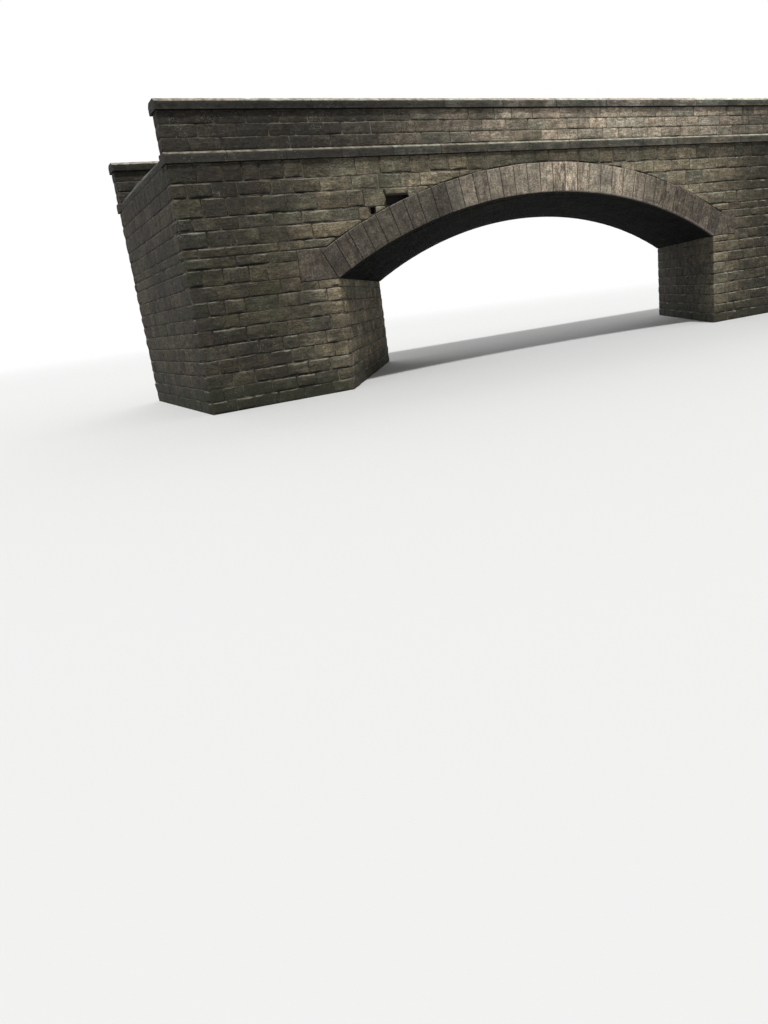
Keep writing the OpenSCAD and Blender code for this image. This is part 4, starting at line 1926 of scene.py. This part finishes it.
@dataclass(frozen=True)
class RoadFinish:
    """Rolled stone chippings in old binder, worn paler along two tracks."""

    name: str
    body: Colour = (0.095, 0.092, 0.086)
    chip: Colour = (0.25, 0.24, 0.22)
    damp: Colour = (0.040, 0.042, 0.030)
    track: float = 1.25

    def material(self) -> Material:
        """Makes the material.

        Returns:
            The material, driven by the place on the bridge.
        """
        s = Shader(bpy.data.materials.new(self.name))
        spot = s.spot_on_bridge()
        cells = s.add("ShaderNodeTexVoronoi", {"Vector": spot, "Scale": CHIPS_PER_METRE})
        tint = s.split(cells.outputs["Color"])[0]
        across = s.math("ABSOLUTE", s.split(spot)[1], 0.0)
        away = s.math("ABSOLUTE", s.math("SUBTRACT", across, self.track), 0.0)
        coarse = s.noise(spot, COARSE_CHIPS)
        tone = s.product(s.span(away, *TONE_BY_TRACK), s.span(s.noise(spot, ROAD_STAINS), *TONE_BY_STAIN),
                         s.span(coarse, *TONE_BY_CHIPS))
        ravelled = s.product(s.span(s.noise(spot, RAVELLING), *RAVELLED_BY_NOISE),
                             s.span(coarse, *RAVELLED_BY_CHIPS))
        edge = s.math("ADD", across, s.product(s.noise(spot, ROAD_EDGE), DAMP_SWING))
        colour = s.dimmed(s.mix(s.span(tint, *PALE_BY_CHIP), self.body, self.chip), tone)
        colour = s.mix(ravelled, colour, self.damp)
        colour = s.mix(s.span(edge, *DAMP_BY_EDGE), colour, self.damp)
        normal = s.bump(cells.outputs["Distance"], ROAD_RELIEF)
        return s.finish(colour, s.span(tint, *ROUGH_BY_CHIP), normal, ROAD_SHINE)


# The finishes' tones along the bridge set painted shade and sun.
WALL_FINISH = StoneFinish(
    "weathered_wall_stone", Tooling.PITCHED, (0.091, 0.086, 0.060), (0.140, 0.115, 0.074),
    top_course_tone=0.52, lichen_share=0.35)
PARAPET_FINISH = StoneFinish(
    "weathered_parapet_stone", Tooling.PITCHED, (0.108, 0.100, 0.078), (0.165, 0.134, 0.098),
    crust_share=0.6, lichen_share=0.4, relief=0.02, painted_shade_to_sun=(0.24, 2.8), painted_shade_left=(-10.5, -0.5),
    right_shade_tone=0.36, tones=(0.6, 1.3))
RING_FINISH = StoneFinish(
    "dressed_ring_stone", Tooling.DRESSED, (0.115, 0.102, 0.079), (0.158, 0.130, 0.096),
    pale=(0.365, 0.315, 0.272), crust=(0.020, 0.017, 0.014), crust_share=0.5, moss_share=0.12,
    lichen_share=0.25, arris_share=0.75, bedding=0.06, relief=0.006, tones=(0.56, 1.44), streaks=0.45,
    mottling=0.19, soot_and_shade_share=0.97, soot_at_edge=0.15, painted_shade_to_sun=(0.72, 2.5), painted_shade_left=(-7.2, -2.4),
    painted_shade_right=(-1.0, 4.0), right_shade_tone=0.3)
# Near black: soot and painted shade under the arch.
VAULT_FINISH = StoneFinish(
    "sooty_vault_stone", Tooling.SOOTED, (0.008, 0.0085, 0.009), (0.012, 0.0112, 0.0105),
    pale=(0.017, 0.016, 0.015), crust=(0.004, 0.004, 0.004), crust_share=0.8, moss_share=0.2,
    lichen_share=0.0, arris_share=0.3, top_share=0.0, relief=0.008, soot_and_shade_share=0.0, specular=0.02,
    painted_shade_to_sun=(1.0, 1.0), right_shade_tone=1.0)
STRING_FINISH = StoneFinish(
    "lichened_string_stone", Tooling.RUBBED, (0.044, 0.043, 0.034), (0.066, 0.058, 0.044),
    lichen=(0.31, 0.31, 0.24), crust_share=0.75, crust_from=0.47, moss_share=0.3, lichen_share=0.45,
    top_share=0.95, relief=0.006, slope_tone=1.1, mottling=0.38, painted_shade_to_sun=(0.8, 2.4),
    painted_shade_left=(-9.5, 0.0), right_shade_tone=0.6)
COPING_FINISH = replace(
    STRING_FINISH, name="lichened_coping_stone", cool=(0.031, 0.032, 0.026), warm=(0.050, 0.044, 0.036),
    top_share=0.92, slope_tone=1.7, painted_shade_to_sun=(0.28, 5.4), painted_shade_left=(-9.5, 1.5), right_shade_tone=0.3)
JOINT_FINISH = MortarFinish("old_lime_mortar")
# Dark inside and round the pockets: painted shade.
POCKET_FINISH = MortarFinish("mortar_with_dark_pockets", void_from=-3.49)
# Near black mortar under the arch: soot and painted shade.
DARK_JOINT_FINISH = MortarFinish("sooty_mortar", (0.013, 0.012, 0.011), (0.006, 0.0055, 0.005))
ROAD_FINISH = RoadFinish("rolled_chippings")


def dress_solids() -> None:
    """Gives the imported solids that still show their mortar, rubble and road finishes."""
    mortar, sooty_and_shaded, road = JOINT_FINISH.material(), DARK_JOINT_FINISH.material(), ROAD_FINISH.material()
    # The barrel and skewbacks get the near black mortar: soot and painted shade under the arch.
    finishes = dict.fromkeys(("arch_barrel", "skewback_left", "skewback_right"), sooty_and_shaded)
    finishes |= {"roadway": road, "spandrel_near_left": POCKET_FINISH.material()}
    for name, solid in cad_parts.items():
        for slot in solid.material_slots:
            slot.material = finishes.get(name, mortar)


WHITE = (1.0, 1.0, 1.0, 1.0)


@dataclass
class Studio:
    """A pale floor, soft even light and the camera."""

    floor_reach: float = 400.0
    floor_colour: Colour = (0.42, 0.42, 0.415)
    floor_seen: Colour = (0.62, 0.62, 0.615)
    floor_fade: Span = (30.0, 110.0)
    sky: float = 0.54
    sun: float = 2.7
    sun_spread: float = 6.0
    sun_turn: Triple = (34.0, 0.0, -26.0)
    fill: float = 1.0
    fill_spread: float = 50.0
    fill_turn: Triple = (-52.0, 0.0, -20.0)
    lens: float = 26.0
    sensor: float = 36.0
    camera_at: Triple = (-18.559, -22.488, 2.215)
    camera_right: Triple = (0.87646, -0.46450, -0.12674)
    camera_up: Triple = (0.23527, 0.18353, 0.95445)
    camera_back: Triple = (-0.42007, -0.86636, 0.27014)

    def build(self) -> None:
        """Sets up the floor, the light and the camera."""
        self._floor()
        self._light()
        self._camera()
        bpy.context.scene.view_settings.view_transform = "Standard"

    def _floor(self) -> None:
        """Lays the floor, which fades into the background far away."""
        reach = self.floor_reach
        corners = [(-reach, -reach, 0), (reach, -reach, 0), (reach, reach, 0), (-reach, reach, 0)]
        mesh = bpy.data.meshes.new("studio_floor")
        mesh.from_pydata(corners, [], [(0, 1, 2, 3)])
        floor = bpy.data.objects.new("studio_floor", mesh)
        bpy.context.scene.collection.objects.link(floor)
        s = Shader(bpy.data.materials.new("pale_floor"))
        seen = self._seen(s)
        colour = s.mix(seen, self.floor_colour, self.floor_seen)
        near = s.add("ShaderNodeBsdfDiffuse", {"Color": colour}).outputs[0]
        white = s.add("ShaderNodeEmission", {"Strength": 1.0}).outputs[0]
        away = s.add("ShaderNodeVectorMath", {0: s.spot_on_bridge()}, operation="LENGTH").outputs["Value"]
        far = s.product(s.span(away, self.floor_fade), seen)
        mixed = s.add("ShaderNodeMixShader", {0: far, 1: near, 2: white}).outputs[0]
        s.add("ShaderNodeOutputMaterial", {"Surface": mixed})
        mesh.materials.append(s.owner)
        floor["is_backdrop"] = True

    @staticmethod
    def _seen(shader: Shader) -> Socket:
        """Finds the rays by which the floor is seen.

        Args:
            shader: The floor's shader.

        Returns:
            1 for rays from the camera or off a glossy or clear surface.
        """
        path = shader.add("ShaderNodeLightPath", {})
        glossy = shader.math("MAXIMUM", path.outputs["Is Glossy Ray"], path.outputs["Is Transmission Ray"])
        return shader.math("MAXIMUM", path.outputs["Is Camera Ray"], glossy)

    def _light(self) -> None:
        """Sets the soft sky, the high lamp and a weaker, very soft one for the back."""
        world = bpy.data.worlds.new("studio_world")
        bpy.context.scene.world = world
        s = Shader(world)
        seen = s.add("ShaderNodeLightPath", {}).outputs["Is Camera Ray"]
        sky = s.add("ShaderNodeMapRange", {"Value": seen, "To Min": self.sky, "To Max": 1.0})
        background = s.add("ShaderNodeBackground", {"Color": WHITE, "Strength": sky.outputs["Result"]})
        s.add("ShaderNodeOutputWorld", {"Surface": background.outputs[0]})
        self._lamp("high_lamp", self.sun, self.sun_spread, self.sun_turn)
        self._lamp("back_lamp", self.fill, self.fill_spread, self.fill_turn)

    @staticmethod
    def _lamp(name: str, energy: float, spread: float, turn: Triple) -> None:
        """Hangs one far lamp.

        Args:
            name: Its name.
            energy: Its strength.
            spread: Its width in degrees, which softens its shadows.
            turn: Its turn from shining straight down, in degrees.
        """
        lamp = bpy.data.lights.new(name, "SUN")
        lamp.energy = energy
        lamp.angle = math.radians(spread)
        holder = bpy.data.objects.new(name, lamp)
        holder.rotation_euler = [math.radians(a) for a in turn]
        bpy.context.scene.collection.objects.link(holder)

    def _camera(self) -> None:
        """Sets the camera at the photograph's viewing place."""
        data = bpy.data.cameras.new("view")
        data.lens = self.lens
        data.sensor_fit = "VERTICAL"
        data.sensor_height = self.sensor
        data.clip_end = 2 * self.floor_reach
        camera = bpy.data.objects.new("view", data)
        rows = zip(self.camera_right, self.camera_up, self.camera_back, self.camera_at)
        camera.matrix_world = Matrix([*rows, (0, 0, 0, 1)])
        bpy.context.scene.collection.objects.link(camera)
        bpy.context.scene.camera = camera


STRING_SLOPE = (0.08, 0.06)
COPING_SLOPE = (0.11, 0.08)
STRING_STONE = 1.54
COPING_SLAB = 1.98
STRING_SEED, COPING_SEED = 151, 163
COPING_CHIPS = 0.02


def long_courses(levels: Levels) -> None:
    """Cuts the string course and the coping of both sides.

    Args:
        levels: Levels and reaches of the pieces.
    """
    string_finish, coping_finish = STRING_FINISH.material(), COPING_FINISH.material()
    deep, fall = STRING_SLOPE
    face, back = -levels.string_out, -levels.parapet_back
    string = BarOutline(((face, levels.wall_top), (face, levels.string_top - fall),
                         (face + deep, levels.string_top), (back, levels.string_top),
                         (back, levels.wall_top)))
    deep, fall = COPING_SLOPE
    face, back = -levels.coping_out, -levels.coping_in
    coping = BarOutline(((face, levels.coping_bed), (face, levels.top - fall), (face + deep, levels.top),
                         (back - deep, levels.top), (back, levels.top - fall), (back, levels.coping_bed)))
    for side in Side:
        word = side.word
        LongCourse(side, f"string_stones_{word}", f"string_{word}", string, levels.half_length,
                   STRING_STONE).build(string_finish, STRING_SEED + side.value)
        LongCourse(side, f"coping_slabs_{word}", f"coping_{word}", coping, levels.half_length,
                   COPING_SLAB, chips=COPING_CHIPS).build(coping_finish, COPING_SEED + side.value)


def main() -> None:
    """Builds the bridge's pieces in order."""
    logging.basicConfig(level=logging.INFO, format="%(message)s")
    levels = Levels.from_frame()
    Studio().build()
    dress_solids()
    wall, parapet = WALL_FINISH.material(), PARAPET_FINISH.material()
    ring, vault = RING_FINISH.material(), VAULT_FINISH.material()
    for side in Side:
        SideWall(side, levels).build(wall)
        Parapet(side, levels).build(parapet)
        ArchRing(side).build(ring)
    for turn, name in ((1, "left"), (-1, "right")):
        MouthWall(turn, f"mouth_blocks_{name}").build(wall)
        EndFace(-turn, f"end_blocks_{name}", levels).build(wall)
    Vault().build(vault)
    long_courses(levels)
    boxes = {"cad": CAD_BOX, "visual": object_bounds()}
    {key: [list(corner) for corner in box] for key, box in boxes.items()}


if __name__ == "__main__":
    main()
